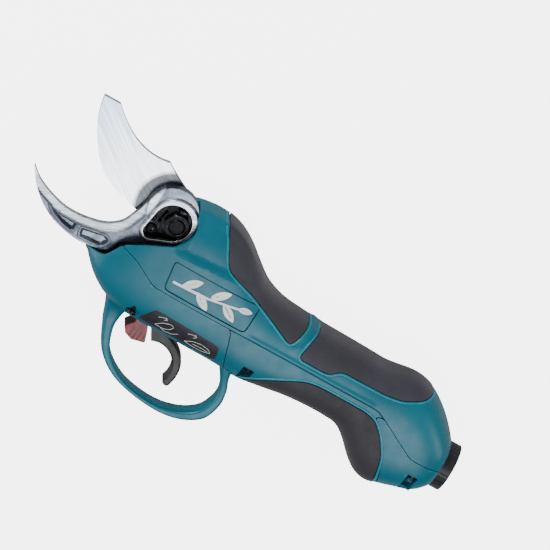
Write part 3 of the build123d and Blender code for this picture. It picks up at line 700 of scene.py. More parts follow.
def wire_wear(graph: Graph, entry: bpy.types.Node) -> dict:
    """Edge wear: strongly bent outward edges, broken up by noise."""
    bend = graph.add("ShaderNodeNewGeometry").outputs["Pointiness"]
    edge = graph.spread(bend, 0.52, 0.62, 0.0, 1.0)
    patchy = graph.spread(graph.noise(graph.place(), 420.0, 4.0), 0.42, 0.62, 0.0, 1.0)
    return {"Mask": graph.math("MULTIPLY", graph.math("MULTIPLY", edge, patchy), entry.outputs["Amount"])}


def wire_dust(graph: Graph, entry: bpy.types.Node) -> dict:
    """Dust: cloudy patches in the hollows."""
    bend = graph.add("ShaderNodeNewGeometry").outputs["Pointiness"]
    hollow = graph.spread(bend, 0.42, 0.5, 1.0, 0.25)
    cloud = graph.spread(graph.noise(graph.place(), 55.0, 6.0, 0.65), 0.4, 0.75, 0.0, 1.0)
    return {"Mask": graph.math("MULTIPLY", graph.math("MULTIPLY", hollow, cloud), entry.outputs["Amount"])}


def wire_grinding(graph: Graph, entry: bpy.types.Node) -> dict:
    """Grinding lines: noise squeezed across a direction turned by Angle about z."""
    turn = graph.add("ShaderNodeCombineXYZ", {2: entry.outputs["Angle"]})
    mapped = graph.add("ShaderNodeMapping", {"Vector": graph.place(), "Rotation": turn.outputs[0]})
    squeeze = graph.add("ShaderNodeVectorMath", {0: mapped.outputs[0], 1: (1.0, 0.012, 0.05)},
                        operation="MULTIPLY")
    fine = graph.add("ShaderNodeTexNoise", {"Vector": squeeze.outputs[0], "Scale": entry.outputs["Fineness"],
                                            "Detail": 4.0, "Roughness": 0.7})
    return {"Lines": fine.outputs[0]}


GRAIN = Effect("moulded_grain", (("Fineness", 2200.0),), ("Height",), wire_grain)
WEAR = Effect("edge_wear", (("Amount", 0.5),), ("Mask",), wire_wear)
DUST = Effect("settled_dust", (("Amount", 0.2),), ("Mask",), wire_dust)
GRINDING = Effect("grinding_lines", (("Angle", 1.0), ("Fineness", 2600.0)), ("Lines",), wire_grinding)


@dataclass(frozen=True)
class Finish:
    """What all finishes share: a name and a plain shader."""

    name: str

    def material(self) -> bpy.types.Material:
        """The finish's material, made at its first use."""
        name = f"{self.name}_finish"
        if name in bpy.data.materials:
            return bpy.data.materials[name]
        made = bpy.data.materials.new(name)
        made.use_nodes = True
        graph = Graph(made.node_tree)
        shader = next(n for n in made.node_tree.nodes if n.type == "BSDF_PRINCIPLED")
        self.wire(graph, shader)
        return made

    def wire(self, graph: Graph, shader: bpy.types.Node) -> None:
        """Joins the finish's nodes to the shader."""
        raise NotImplementedError

    @staticmethod
    def dress(graph: Graph, shader: bpy.types.Node, colour: object, rough: object, height: object,
              bump: tuple[float, float]) -> None:
        """Joins colour, roughness and a bump, given as its strength and its depth in millimetres."""
        strength, depth = bump
        node = graph.add("ShaderNodeBump", {"Height": height, "Strength": strength, "Distance": depth / 1000})
        for name, socket in (("Base Color", colour), ("Roughness", rough), ("Normal", node.outputs[0])):
            graph.tree.links.new(socket, shader.inputs[name])


@dataclass(frozen=True)
class MouldedPlastic(Finish):
    """Satin moulded plastic with grain, slight colour drift, dust and rubbed edges."""

    colour: str = "006a80"
    drift: str = "00768a"
    worn: str = "4fa9b8"
    roughness: float = 0.38
    grain: float = 2200.0
    depth: float = 0.02
    dust: float = 0.1

    def wire(self, graph: Graph, shader: bpy.types.Node) -> None:
        """Colour from drift, wear and dust; roughness and bump from the grain."""
        place = graph.place()
        drift = graph.spread(graph.noise(place, 14.0, 2.0), 0.35, 0.65, 0.0, 1.0)
        base = graph.blend(drift, linear(self.colour), linear(self.drift))
        worn = graph.blend(WEAR.use(graph, Amount=0.35).outputs[0], base, linear(self.worn))
        dusty = graph.blend(DUST.use(graph, Amount=self.dust).outputs[0], worn, linear("8d9490"))
        height = GRAIN.use(graph, Fineness=self.grain).outputs[0]
        rough = graph.spread(graph.noise(place, 160.0, 4.0), 0.3, 0.7, self.roughness - 0.05,
                             self.roughness + 0.06)
        shader.inputs["IOR"].default_value = 1.49
        shader.inputs["Specular IOR Level"].default_value = 0.4
        self.dress(graph, shader, dusty, rough, height, (0.35, self.depth))


@dataclass(frozen=True)
class SoftRubber(Finish):
    """Matte overmoulded rubber with a leathery grain and pale scuffs."""

    colour: str = "3e3d48"
    scuff: str = "5a5966"
    roughness: float = 0.62

    def wire(self, graph: Graph, shader: bpy.types.Node) -> None:
        """Fine pits and a fine grain; scuffs where the noise is high."""
        place = graph.place()
        scuffs = graph.spread(graph.noise(place, 38.0, 5.0, 0.62), 0.45, 0.75, 0.0, 0.6)
        base = graph.blend(scuffs, linear(self.colour), linear(self.scuff))
        worn = graph.blend(WEAR.use(graph, Amount=0.25).outputs[0], base, linear("6d6c78"))
        height = GRAIN.use(graph, Fineness=1500.0).outputs[0]
        rough = graph.spread(graph.noise(place, 90.0, 4.0), 0.3, 0.7, self.roughness - 0.08,
                             self.roughness + 0.1)
        shader.inputs["Sheen Weight"].default_value = 0.12
        shader.inputs["Sheen Roughness"].default_value = 0.5
        self.dress(graph, shader, worn, rough, height, (0.55, 0.035))


@dataclass(frozen=True)
class GroundSteel(Finish):
    """Ground and polished steel with fine lines; with band on, also a painted shadow and reflection round the hub
    and a painted cool reflection tint.
    """

    bright: str = "eef1f4"
    dull: str = "ccd3dc"
    roughness: float = 0.24
    angle: float = -0.93
    # band turns on painted light: a dark ring of shadow and reflection round the boss, and a cool reflection tint
    band: bool = False
    line_depth: float = 0.008
    # colour of the painted cool reflection tint
    painted_reflection_tint: str = "8ea6c4"

    def wire(self, graph: Graph, shader: bpy.types.Node) -> None:
        """Lines drive colour, roughness and bump; the band paints a dark shadow and reflection of the boss round
        it and a cool reflection tint towards the tip.
        """
        lines = GRINDING.use(graph, Angle=self.angle, Fineness=1500.0).outputs[0]
        share = graph.spread(lines, 0.38, 0.62, 0.0, 1.0)
        base = graph.blend(share, linear(self.dull), linear(self.bright))
        if self.band:
            place = graph.place()
            x0, y0, _ = WORK.place(np.array([-6.0, 5.5, 0.0]))
            shifted = graph.add("ShaderNodeVectorMath", {0: place, 1: (x0, y0, 0.0)}, operation="SUBTRACT")
            flat = graph.add("ShaderNodeVectorMath", {0: shifted.outputs[0], 1: (1.0, 1.0, 0.0)},
                             operation="MULTIPLY")
            away = graph.add("ShaderNodeVectorMath", {0: flat.outputs[0]},
                             operation="LENGTH").outputs["Value"]
            # painted reflection: a cool tint that grows towards the blade's tip
            lean = graph.add("ShaderNodeVectorMath", {0: shifted.outputs[0], 1: (-0.86, 0.5, 0.0)},
                             operation="DOT_PRODUCT").outputs["Value"]
            painted_reflection_tint = graph.spread(lean, 0.03, 0.085, 0.0, 0.85)
            base = graph.blend(painted_reflection_tint, base, linear(self.painted_reflection_tint))
            # painted shadow and reflection of the boss: a dark ring out to about 24 mm from its centre
            near = graph.spread(away, 0.0215, 0.0245, 0.93, 0.0)
            base = graph.blend(near, base, linear("26292f"))
        spots = graph.spread(graph.noise(graph.place(), 300.0, 5.0), 0.6, 0.75, 0.0, 0.15)
        base = graph.blend(spots, base, linear("8d949c"))
        rough = graph.spread(lines, 0.3, 0.7, self.roughness + 0.1, self.roughness - 0.04)
        shader.inputs["Metallic"].default_value = 1.0
        self.dress(graph, shader, base, rough, lines, (0.4, self.line_depth))


@dataclass(frozen=True)
class CastSteel(Finish):
    """Grey cast steel with a fine blasted surface and bright rubbed edges."""

    colour: str = "7d8491"
    shade: str = "5d6471"
    roughness: float = 0.38

    def wire(self, graph: Graph, shader: bpy.types.Node) -> None:
        """Mottled colour, fine pits, and bright edges."""
        place = graph.place()
        cloud = graph.spread(graph.noise(place, 120.0, 6.0, 0.68), 0.35, 0.65, 0.0, 1.0)
        base = graph.blend(cloud, linear(self.shade), linear(self.colour))
        shine = graph.add("ShaderNodeAttribute", attribute_name="polished").outputs["Fac"]
        lines = GRINDING.use(graph, Angle=1.2, Fineness=1500.0).outputs[0]
        ground = graph.blend(graph.spread(lines, 0.38, 0.62, 0.0, 1.0), linear("9fabba"), linear("e3e7ec"))
        base = graph.blend(shine, base, ground)
        rough = graph.spread(cloud, 0.0, 1.0, self.roughness + 0.1, self.roughness - 0.06)
        shader.inputs["Metallic"].default_value = 1.0
        self.dress(graph, shader, base, rough, GRAIN.use(graph, Fineness=3200.0).outputs[0], (0.4, 0.02))


@dataclass(frozen=True)
class BlackenedSteel(Finish):
    """Black phosphate on steel, rubbed back to metal on the edges."""

    colour: str = "0b0b0e"
    roughness: float = 0.42

    def wire(self, graph: Graph, shader: bpy.types.Node) -> None:
        """Metal shows at the worn edges; the coat is mottled."""
        place = graph.place()
        mottled = graph.spread(graph.noise(place, 700.0, 4.0), 0.35, 0.65, 0.0, 1.0)
        base = graph.blend(mottled, linear(self.colour), linear("121216"))
        worn = WEAR.use(graph, Amount=0.7).outputs[0]
        base = graph.blend(worn, base, linear("8a8f98"))
        rough = graph.spread(mottled, 0.0, 1.0, self.roughness - 0.08, self.roughness + 0.1)
        shader.inputs["Metallic"].default_value = 0.85
        self.dress(graph, shader, base, rough, GRAIN.use(graph, Fineness=3500.0).outputs[0], (0.3, 0.012))


@dataclass(frozen=True)
class TurnedMetal(Finish):
    """Machined metal with fine turning marks, for the inner works."""

    colour: str = "b8bcc2"
    shade: str = "8f949c"
    roughness: float = 0.3

    def wire(self, graph: Graph, shader: bpy.types.Node) -> None:
        """Marks from squeezed noise in colour, roughness and bump."""
        marks = GRINDING.use(graph, Angle=0.0, Fineness=1800.0).outputs[0]
        share = graph.spread(marks, 0.35, 0.65, 0.0, 1.0)
        base = graph.blend(share, linear(self.shade), linear(self.colour))
        rough = graph.spread(marks, 0.3, 0.7, self.roughness + 0.1, self.roughness - 0.05)
        shader.inputs["Metallic"].default_value = 1.0
        self.dress(graph, shader, base, rough, marks, (0.35, 0.01))


@dataclass(frozen=True)
class PrintedFilm(Finish):
    """A thin printed layer: even colour with a trace of mottle."""

    colour: str = "eef2f2"
    shade: str = "d9dfe0"
    roughness: float = 0.36

    def wire(self, graph: Graph, shader: bpy.types.Node) -> None:
        """Two close tones and a faint orange-peel bump."""
        place = graph.place()
        mottled = graph.spread(graph.noise(place, 260.0, 4.0), 0.35, 0.65, 0.0, 1.0)
        base = graph.blend(mottled, linear(self.colour), linear(self.shade))
        rough = graph.spread(mottled, 0.0, 1.0, self.roughness - 0.04, self.roughness + 0.05)
        self.dress(graph, shader, base, rough, GRAIN.use(graph, Fineness=900.0).outputs[0], (0.15, 0.02))


TEAL = MouldedPlastic("teal_shell", colour="005d70", drift="00687a", worn="2f9bb0", dust=0.04)
# a lighter, glossier copy of the shell teal for the grip beads: painted highlight along the rims
TEAL_HIGHLIGHT_TRIM = MouldedPlastic("teal_highlight_trim", colour="007287", drift="007e92", worn="5cb9c8",
                           roughness=0.3, dust=0.04)
RUBBER = SoftRubber("grip_rubber", colour="2b2a33", scuff="3d3c47")
# a darker copy of the grip rubber for the downward-facing lower grip: painted shade
SHADED_LOWER_RUBBER = SoftRubber("shaded_lower_grip_rubber", colour="1d1c23", scuff="2c2b33")
# the cutting blade's finish carries the painted boss shadow, reflection and cool tint
BLADE = GroundSteel("blade_steel", band=True)
CAST = CastSteel("hook_steel")
BLACKENED = BlackenedSteel("black_steel")
TURNED = TurnedMetal("machined_steel")
BRONZE = TurnedMetal("bearing_bronze", colour="b98a4a", shade="8f6632")
CAST_ALUMINIUM = CastSteel("cast_aluminium", colour="a7abb0", shade="8d9298", roughness=0.45)
MAGNET = TurnedMetal("plated_magnet", colour="6f7278", shade="55585e")
BLACK_PLASTIC = MouldedPlastic("black_plastic", colour="141518", drift="1b1c20", worn="4a4b50",
                           roughness=0.45)
DARK_PLASTIC = MouldedPlastic("dark_plastic", colour="17171c", drift="1e1e24", worn="4a4a54", roughness=0.42)
RED_PLASTIC = MouldedPlastic("red_plastic", colour="6c0517", drift="7c0b1e", worn="c24a5c", roughness=0.36)
BOARD = MouldedPlastic("circuit_board", colour="0b4a2c", drift="0f5836", worn="3f8a66",
                           roughness=0.4, dust=0.02)
SEAL = SoftRubber("seal_rubber", colour="1a1a1c", scuff="2a2a2c")
WIRE_COVER = MouldedPlastic("wire_cover", colour="17171a", drift="1f1f23", worn="505055", roughness=0.4)
WHITE_PRINT = PrintedFilm("white_print")
LABEL_FILM = PrintedFilm("label_film", colour="1c1b22", shade="24232a", roughness=0.4)

SLOT_FINISH = {
    "shell": TEAL, "grip": RUBBER, "emblem": WHITE_PRINT, "label": LABEL_FILM, "blade_steel": BLADE,
    "black_steel": BLACKENED, "machined_steel": TURNED, "bronze": BRONZE,
    "cast_aluminium": CAST_ALUMINIUM, "magnet": MAGNET, "black_plastic": BLACK_PLASTIC,
    "dark_plastic": DARK_PLASTIC, "red_plastic": RED_PLASTIC, "board": BOARD,
    "seal_rubber": SEAL, "wire_cover": WIRE_COVER,
}


def fit(piece: bpy.types.Object, body: Body, slot: str, finish: Finish, *nodes: str) -> bpy.types.Object:
    """Dresses a piece, ties it to its body and hides the CAD nodes it stands for.

    Args:
        piece: the object.
        body: the body it rides on.
        slot: not used.
        finish: its finish.
        nodes: CAD nodes that it stands for.

    Returns:
        The same object.
    """
    piece.data.materials.append(finish.material())
    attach(piece, body.value)
    if nodes:
        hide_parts(*nodes)
    LOG.info("%s: %d faces on %s", piece.name, len(piece.data.polygons), body.value)
    return piece


# ---------------------------------------------------------------- housing
SEAM = ((-60, -16), (-25, -23.5), (-10.5, -27), (5, -35), (158, -35), (163, -37.5), (189, -51.5),
        (240, -52.5))
FRONT_SEAM = ((58, -35), (67, -60), (74, -66))
TAIL_SEAM = ((158, -39), (167, -48.5), (176, -62), (181, -76), (182, -100))
FRONT_GRIP = ((24, 18.5), (30, 14), (34.5, 3), (39, -4.5), (56, -10), (92.8, -26.5), (98, -14))
REAR_GRIP = ((106, -14), (103, -20), (100.5, -30.5), (121.5, -30.5), (127, -25), (157, -25),
             (167, -23.5), (179, -18), (184, -14))
LOWER_GRIP = ((74.5, -64.5), (94, -51.5), (112, -41), (121, -39.5), (152, -39.5), (159.5, -41.5),
              (167, -49), (174, -59.5), (178, -74))
NAME_PLATE = ((8, -14.5), (66, -14.5), (65.5, -33), (11, -33))
SIDE_LABEL = ((8, -58.5), (14.5, -46.5), (58, -48), (60.5, -58.5))
BLADE_OPENING = ((-60, 60), (-60, -37.9), (-33, -37.6), (-27.5, -35.6), (-25.2, -31), (-22.5, -25.1),
                 (-20.5, -22.6), (-10, -15.6), (0, -9.9), (5.5, -6.6), (9.2, -1.2), (9.9, 5), (8, 13),
                 (2, 22), (-4, 60))
SCREW_SPOTS = ((3.5, -55.5), (80.0, -51.5), (196.5, -60.5))
FAR_UP, FAR_DOWN = 80.0, -140.0


def leaf(x: Array, y: Array, at: tuple[float, float], turn: float, half_length: float,
         half_width: float) -> Array:
    """Signed distance of a pointed leaf: the overlap of two circles of radius (a^2 + b^2) / 2b."""
    c, s = math.cos(math.radians(turn)), math.sin(math.radians(turn))
    u, v = (x - at[0]) * c + (y - at[1]) * s, -(x - at[0]) * s + (y - at[1]) * c
    radius = (half_length ** 2 + half_width ** 2) / (2 * half_width)
    body = radius - np.hypot(u, np.abs(v) + radius - half_width)
    vein = np.maximum(np.abs(v) - 0.22, u - 0.55 * half_length)
    return np.minimum(body, vein)


def bar(x: Array, y: Array, a: tuple[float, float], b: tuple[float, float], half: float) -> Array:
    """Signed distance of a round-ended bar between two points."""
    dx, dy = b[0] - a[0], b[1] - a[1]
    t = np.clip(((x - a[0]) * dx + (y - a[1]) * dy) / (dx * dx + dy * dy), 0, 1)
    return half - np.hypot(x - a[0] - t * dx, y - a[1] - t * dy)


@dataclass
class Housing:
    """The shells, the rubber grips, the name plates, the labels and the screw pockets."""

    skin: Skin
    gap: float = 0.2
    wall: float = 2.3
    rim: float = 0.35
    grip_lift: float = 0.35
    grip_wall: float = 1.6
    opening_floor: float = -2.3
    boss: tuple[float, float, float] = (-6.0, 5.5, 16.4)
    pocket_half: float = 3.6
    pocket_depth_z: float = 13.5
    outlines: dict[str, Outline] = field(default_factory=dict)

    def __post_init__(self) -> None:
        """Prepares the outlines that the pieces are cut along."""
        tall = ((240, FAR_UP), (-60, FAR_UP))
        self.outlines = {
            "above": Outline(SEAM + tall, 2.0, 1.2),
            "front": Outline(((-60, -16),) + SEAM[1:4] + FRONT_SEAM + ((74, FAR_DOWN), (-60, FAR_DOWN)),
                             1.5, 1.2),
            "tail": Outline(((163, -37.5),) + TAIL_SEAM + ((240, -100), (240, -52.5), (189, -51.5)),
                            1.5, 1.0),
            "front_grip": Outline(((24, 30),) + FRONT_GRIP + ((99, 30),), 2.2),
            "rear_grip": Outline(((107, 20),) + REAR_GRIP + ((184, 20),), 2.2),
            "lower_grip": Outline(((74.5, -92),) + LOWER_GRIP + ((179, -92),), 2.2),
            "plate": Outline(NAME_PLATE, 1.6),
            "label": Outline(SIDE_LABEL, 1.6),
            "opening": Outline(BLADE_OPENING, 1.5),
        }

    def clear_of_holes(self, x: Array, y: Array, z: Array, seats: bool = True) -> Array:
        """How far a place is from the nearest hole in the shells.

        Args:
            x, y, z: the places.
            seats: counts the seats of the grips and plates as holes.
        """
        o = self.outlines
        names = ("front_grip", "rear_grip", "lower_grip", "plate") if seats else ()
        clear = [-o[name].distance(x, y) - self.gap for name in names]
        boss = np.hypot(x - self.boss[0], y - self.boss[1]) - self.boss[2]
        window = np.minimum(-o["opening"].distance(x, y), boss)
        clear.append(np.maximum(window, self.opening_floor - z))
        clear.append(np.maximum(np.hypot(x, y) - 10.0, z + 5.0))
        for sx, sy in SCREW_SPOTS:
            beside = np.maximum(np.abs(x - sx) - self.pocket_half, y - sy)
            clear.append(np.maximum(beside, self.pocket_depth_z - np.abs(z)))
        slot = np.maximum(np.maximum(4.5 - x, x - 54.0), np.maximum(np.abs(z) - 7.3, y + 52.0))
        clear.append(slot)
        return np.minimum.reduce(clear)

    def shell(self, name: str, inside: Sequence[str], outside: Sequence[str], node: str) -> None:
        """One shell: within some outlines, out of others and clear of the holes.

        Args:
            name: the piece's name.
            inside: outlines that bound it.
            outside: outlines of its neighbours.
            node: the CAD node it stands for.
        """
        def keep(x: Array, y: Array, z: Array) -> Array:
            limits = [self.outlines[n].distance(x, y) - self.gap for n in inside]
            limits += [-self.outlines[n].distance(x, y) - self.gap for n in outside]
            return np.minimum.reduce(limits + [self.clear_of_holes(x, y, z)])

        piece = make_object(name, *carve(self.skin, keep, Window()))
        thicken(piece, self.wall)
        round_edges(piece, self.rim)
        fit(piece, Body.HOUSING, "shell", TEAL, node)

    def lining(self) -> None:
        """A dark layer inside the wall, behind every seam, open only where the shells are cut away: painted shade
        seen through the seam gaps.
        """
        def keep(x: Array, y: Array, z: Array) -> Array:
            return self.clear_of_holes(x, y, z, seats=False)

        # black sheet that paints the shade inside the seam gaps
        piece = make_object("seam_shade_lining", *carve(self.skin, keep, Window(cell=1.4), -1.5))
        thicken(piece, 0.4)
        fit(piece, Body.HOUSING, "shell", BLACK_PLASTIC)

    def grip(self, name: str, outline: str, finish: Finish, node: str) -> None:
        """One rubber grip, a little proud of the shells, with pillowed edges."""
        def keep(x: Array, y: Array, z: Array) -> Array:
            return self.outlines[outline].distance(x, y) - self.gap

        piece = make_object(name, *carve(self.skin, keep, Window(), self.grip_lift))
        thicken(piece, self.grip_wall)
        round_edges(piece, 0.7, 3)
        fit(piece, Body.HOUSING, "grip", finish, node)

    def grip_bead(self, name: str, run: Points, crossing: float) -> None:
        """The raised rim round a grip, as a bead on the skin.

        The run is followed on the left flank, across the top or bottom, and back on the right:
        the right flank's angle is twice the crossing angle less the left flank's.

        Args:
            name: the piece's name.
            run: the grip's outline on the flank.
            crossing: the angle at which it crosses over, up or down.
        """
        step, away = 0.8, 1.0
        path = soften(densify(run, step, False), 2.2, step, False)
        slope = np.gradient(path, axis=0)
        slope /= np.linalg.norm(slope, axis=1, keepdims=True)
        sign = -1.0 if crossing > 0 else 1.0
        path = path + away * sign * np.stack([-slope[:, 1], slope[:, 0]], axis=1)
        left = self.skin.phi_at(path[:, 0], path[:, 1], Side.LEFT)
        right = 2 * crossing - left
        steps = 26
        rear_x, front_x = np.full(steps, path[-1, 0]), np.full(steps, path[0, 0])
        rear = np.linspace(left[-1], right[-1], steps + 2)[1:-1]
        front = np.linspace(right[0], left[0], steps + 2)[1:-1]
        x = np.concatenate([path[:, 0], rear_x, path[::-1, 0], front_x])
        phi = np.concatenate([left, rear, right[::-1], front])
        centre = soften(self.skin.point(x, phi, 0.0), 1.2, step, True)
        up = soften(self.skin.normal(x, phi), 1.2, step, True)
        points, faces = sweep(centre, up, superellipse(0.5, 0.75, 2.4, 10), True)
        piece = make_object(name, points, faces, True)
        # the lighter trim teal paints the highlight along the bead
        fit(piece, Body.HOUSING, "shell", TEAL_HIGHLIGHT_TRIM)

    def name_plates(self) -> None:
        """The sunk plates, both sides in one piece."""
        def keep(x: Array, y: Array, z: Array) -> Array:
            return self.outlines["plate"].distance(x, y) - self.gap

        piece = make_object("name_plate_panel", *carve(self.skin, keep, Window(6.0, 68.0), -0.45))
        thicken(piece, 1.2)
        round_edges(piece, 0.3)
        fit(piece, Body.HOUSING, "shell", TEAL, "name_plate")

    def twig(self) -> None:
        """The plain twig on each name plate: a stem with leaves, thin and slightly domed."""
        leaves = (((24, -21.6), 40), ((34, -28.2), -35), ((42, -19.6), 40), ((51, -26.6), -35))

        def keep(x: Array, y: Array, z: Array) -> Array:
            shapes = [leaf(x, y, at, turn, 6.6, 2.5) for at, turn in leaves]
            shapes.append(leaf(x, y, (59.0, -20.8), 8.0, 4.6, 1.9))
            stem = np.maximum(bar(x, y, (14, -26.2), (36, -25.0), 0.75),
                              bar(x, y, (36, -25.0), (56, -21.4), 0.6))
            return np.maximum.reduce(shapes + [stem])

        windows = [Window(12.0, 65.0, turn - 0.9, turn + 0.9, 0.36) for turn in (0.0, math.pi)]
        piece = make_object("plain_twig", *join([carve(self.skin, keep, w, 0.15) for w in windows]))
        thicken(piece, 0.7)
        round_edges(piece, 0.16)
        fit(piece, Body.HOUSING, "emblem", WHITE_PRINT, "twig_emblem")

    def labels(self) -> None:
        """The dark side labels and their line drawings."""
        def keep(x: Array, y: Array, z: Array) -> Array:
            return self.outlines["label"].distance(x, y)

        piece = make_object("side_label_film", *carve(self.skin, keep, Window(5.0, 63.0), 0.12))
        thicken(piece, 0.4)
        round_edges(piece, 0.1)
        fit(piece, Body.HOUSING, "label", LABEL_FILM, "side_label")
        line = superellipse(0.1, 0.11, 3.0, 8)
        lines = []
        for side in Side:
            for drawing in self.drawings():
                path = soften(densify(drawing, 0.5, False), 0.6, 0.5, False)
                phi = self.skin.phi_at(path[:, 0], path[:, 1], side)
                lines.append(sweep(self.skin.point(path[:, 0], phi, 0.16),
                                   self.skin.normal(path[:, 0], phi), line, False))
        piece = make_object("label_drawings", *join(lines), True)
        fit(piece, Body.HOUSING, "emblem", WHITE_PRINT)

    @staticmethod
    def drawings() -> list[Points]:
        """Generic line drawings: two arrows, an open leaf pair and a closed one, with dots."""
        shapes: list[Points] = [
            ((18.0, -50.2), (21.4, -48.6), (23.6, -49.4)), ((22.0, -48.0), (23.8, -49.4), (21.8, -50.4)),
            ((19.0, -56.0), (22.0, -52.6), (26.5, -50.6), (29.4, -51.6), (28.0, -54.4), (24.4, -56.2),
             (19.0, -56.0)),
            ((23.0, -56.4), (26.0, -57.4), (31.0, -56.4), (33.5, -54.2)),
            ((38.0, -50.4), (41.4, -49.2), (43.8, -50.0)), ((42.2, -48.8), (44.0, -50.0), (42.0, -51.2)),
            ((39.0, -56.4), (43.0, -53.6), (48.0, -52.4), (53.4, -53.2), (56.0, -55.2), (51.0, -56.8),
             (44.0, -57.0), (39.0, -56.4)),
            ((44.0, -55.2), (50.0, -54.8), (54.0, -55.2)),
        ]
        return shapes

    def screw_pockets(self) -> None:
        """Walls of the deep pockets under the housing screws.

        A U-shaped run in the side view is carried from the skin straight in to the pocket floor,
        which closes the inner end.
        """
        walls, steps = [], 10
        for side in Side:
            for sx, sy in SCREW_SPOTS:
                middle, height, _, _ = self.skin.size_at(np.array([sx]))
                bottom = float(middle[0] - 0.88 * height[0])
                low, high, top = sx - self.pocket_half - 0.15, sx + self.pocket_half + 0.15, sy + 0.1
                run = densify(((low, bottom), (low, top), (high, top), (high, bottom)), 0.6, False)
                phi = self.skin.phi_at(run[:, 0], run[:, 1], side)
                outer = self.skin.point(run[:, 0], phi, -0.5)
                inner = np.column_stack([run, np.full(len(run), side.value * self.pocket_depth_z)])
                share = np.linspace(0, 1, steps)[:, None, None]
                wall = (outer * (1 - share) + inner * share).reshape(-1, 3)
                floor = (steps - 1) * len(run) + np.arange(len(run))
                walls.append((wall, grid_faces(steps, len(run), False) + [floor.tolist()]))
        piece = make_object("pocket_walls", *join(walls))
        thicken(piece, 0.5)
        fit(piece, Body.HOUSING, "shell", TEAL)

    def build(self) -> None:
        """Makes every piece of the housing."""
        self.shell("upper_shell", ("above",), (), "upper_housing")
        self.shell("front_lower_shell", ("front",), ("above",), "front_lower_housing")
        self.shell("rear_lower_shell", (), ("above", "front", "tail"), "rear_lower_housing")
        self.shell("tail_shell", ("tail",), ("above",), "tail_cover")
        self.lining()
        self.grip("front_rubber", "front_grip", RUBBER, "front_top_grip")
        self.grip("rear_rubber", "rear_grip", RUBBER, "rear_top_grip")
        # the lower grip's darker rubber is painted shade
        self.grip("lower_rubber", "lower_grip", SHADED_LOWER_RUBBER, "lower_grip")
        self.grip_bead("front_grip_bead", FRONT_GRIP, math.pi / 2)
        self.grip_bead("rear_grip_bead", REAR_GRIP, math.pi / 2)
        self.grip_bead("lower_grip_bead", LOWER_GRIP, -math.pi / 2)
        self.name_plates()
        self.twig()
        self.labels()
        self.screw_pockets()


@dataclass
class FingerGuard:
    """The ring under the trigger: a rounded band whose section follows two curves."""

    half_width: float = 6.5
    outer: Points = ((-15, -52), (-11.5, -60), (-8.0, -68), (-4.2, -77), (4.6, -92.0), (20, -102.4),
                     (43, -107.2), (62, -106.2), (76.2, -98.6), (80.8, -87), (80, -77),
                     (77, -69), (75.5, -60))
    inner: Points = ((6, -52), (4, -60), (2.6, -68), (3.2, -77), (9.8, -90.5), (25, -100.6), (44.3, -104.0),
                     (59.5, -101.5), (70.6, -94.6), (75, -85), (74.8, -77), (70.5, -69), (64, -60))

    def build(self) -> None:
        """Each section is the middle of the two curves plus a rounded box between them."""
        count = 150
        rows = np.linspace(0, len(self.outer) - 1, count)
        knots = np.arange(len(self.outer), dtype=float)
        outer = np.stack([cubic(knots, np.array(self.outer, float)[:, k], rows) for k in (0, 1)], axis=1)
        inner = np.stack([cubic(knots, np.array(self.inner, float)[:, k], rows) for k in (0, 1)], axis=1)
        round_count = 40
        profile = superellipse(1.0, 1.0, 4.2, round_count)
        middle, reach = (outer + inner) / 2, (outer - inner) / 2
        flare = self.half_width + 5.0 * bell(rows, 0.9) + 2.0 * bell(rows - rows[-1], 0.7)
        xy = middle[:, None, :] + reach[:, None, :] * profile[None, :, :1]
        z = flare[:, None] * profile[None, :, 1]
        points = np.concatenate([xy, z[..., None]], axis=-1).reshape(-1, 3)
        faces = grid_faces(count, round_count, True)
        faces += [list(range(round_count)), list(range((count - 1) * round_count, count * round_count))]
        piece = make_object("finger_guard", points, faces, True)
        fit(piece, Body.HOUSING, "shell", TEAL)


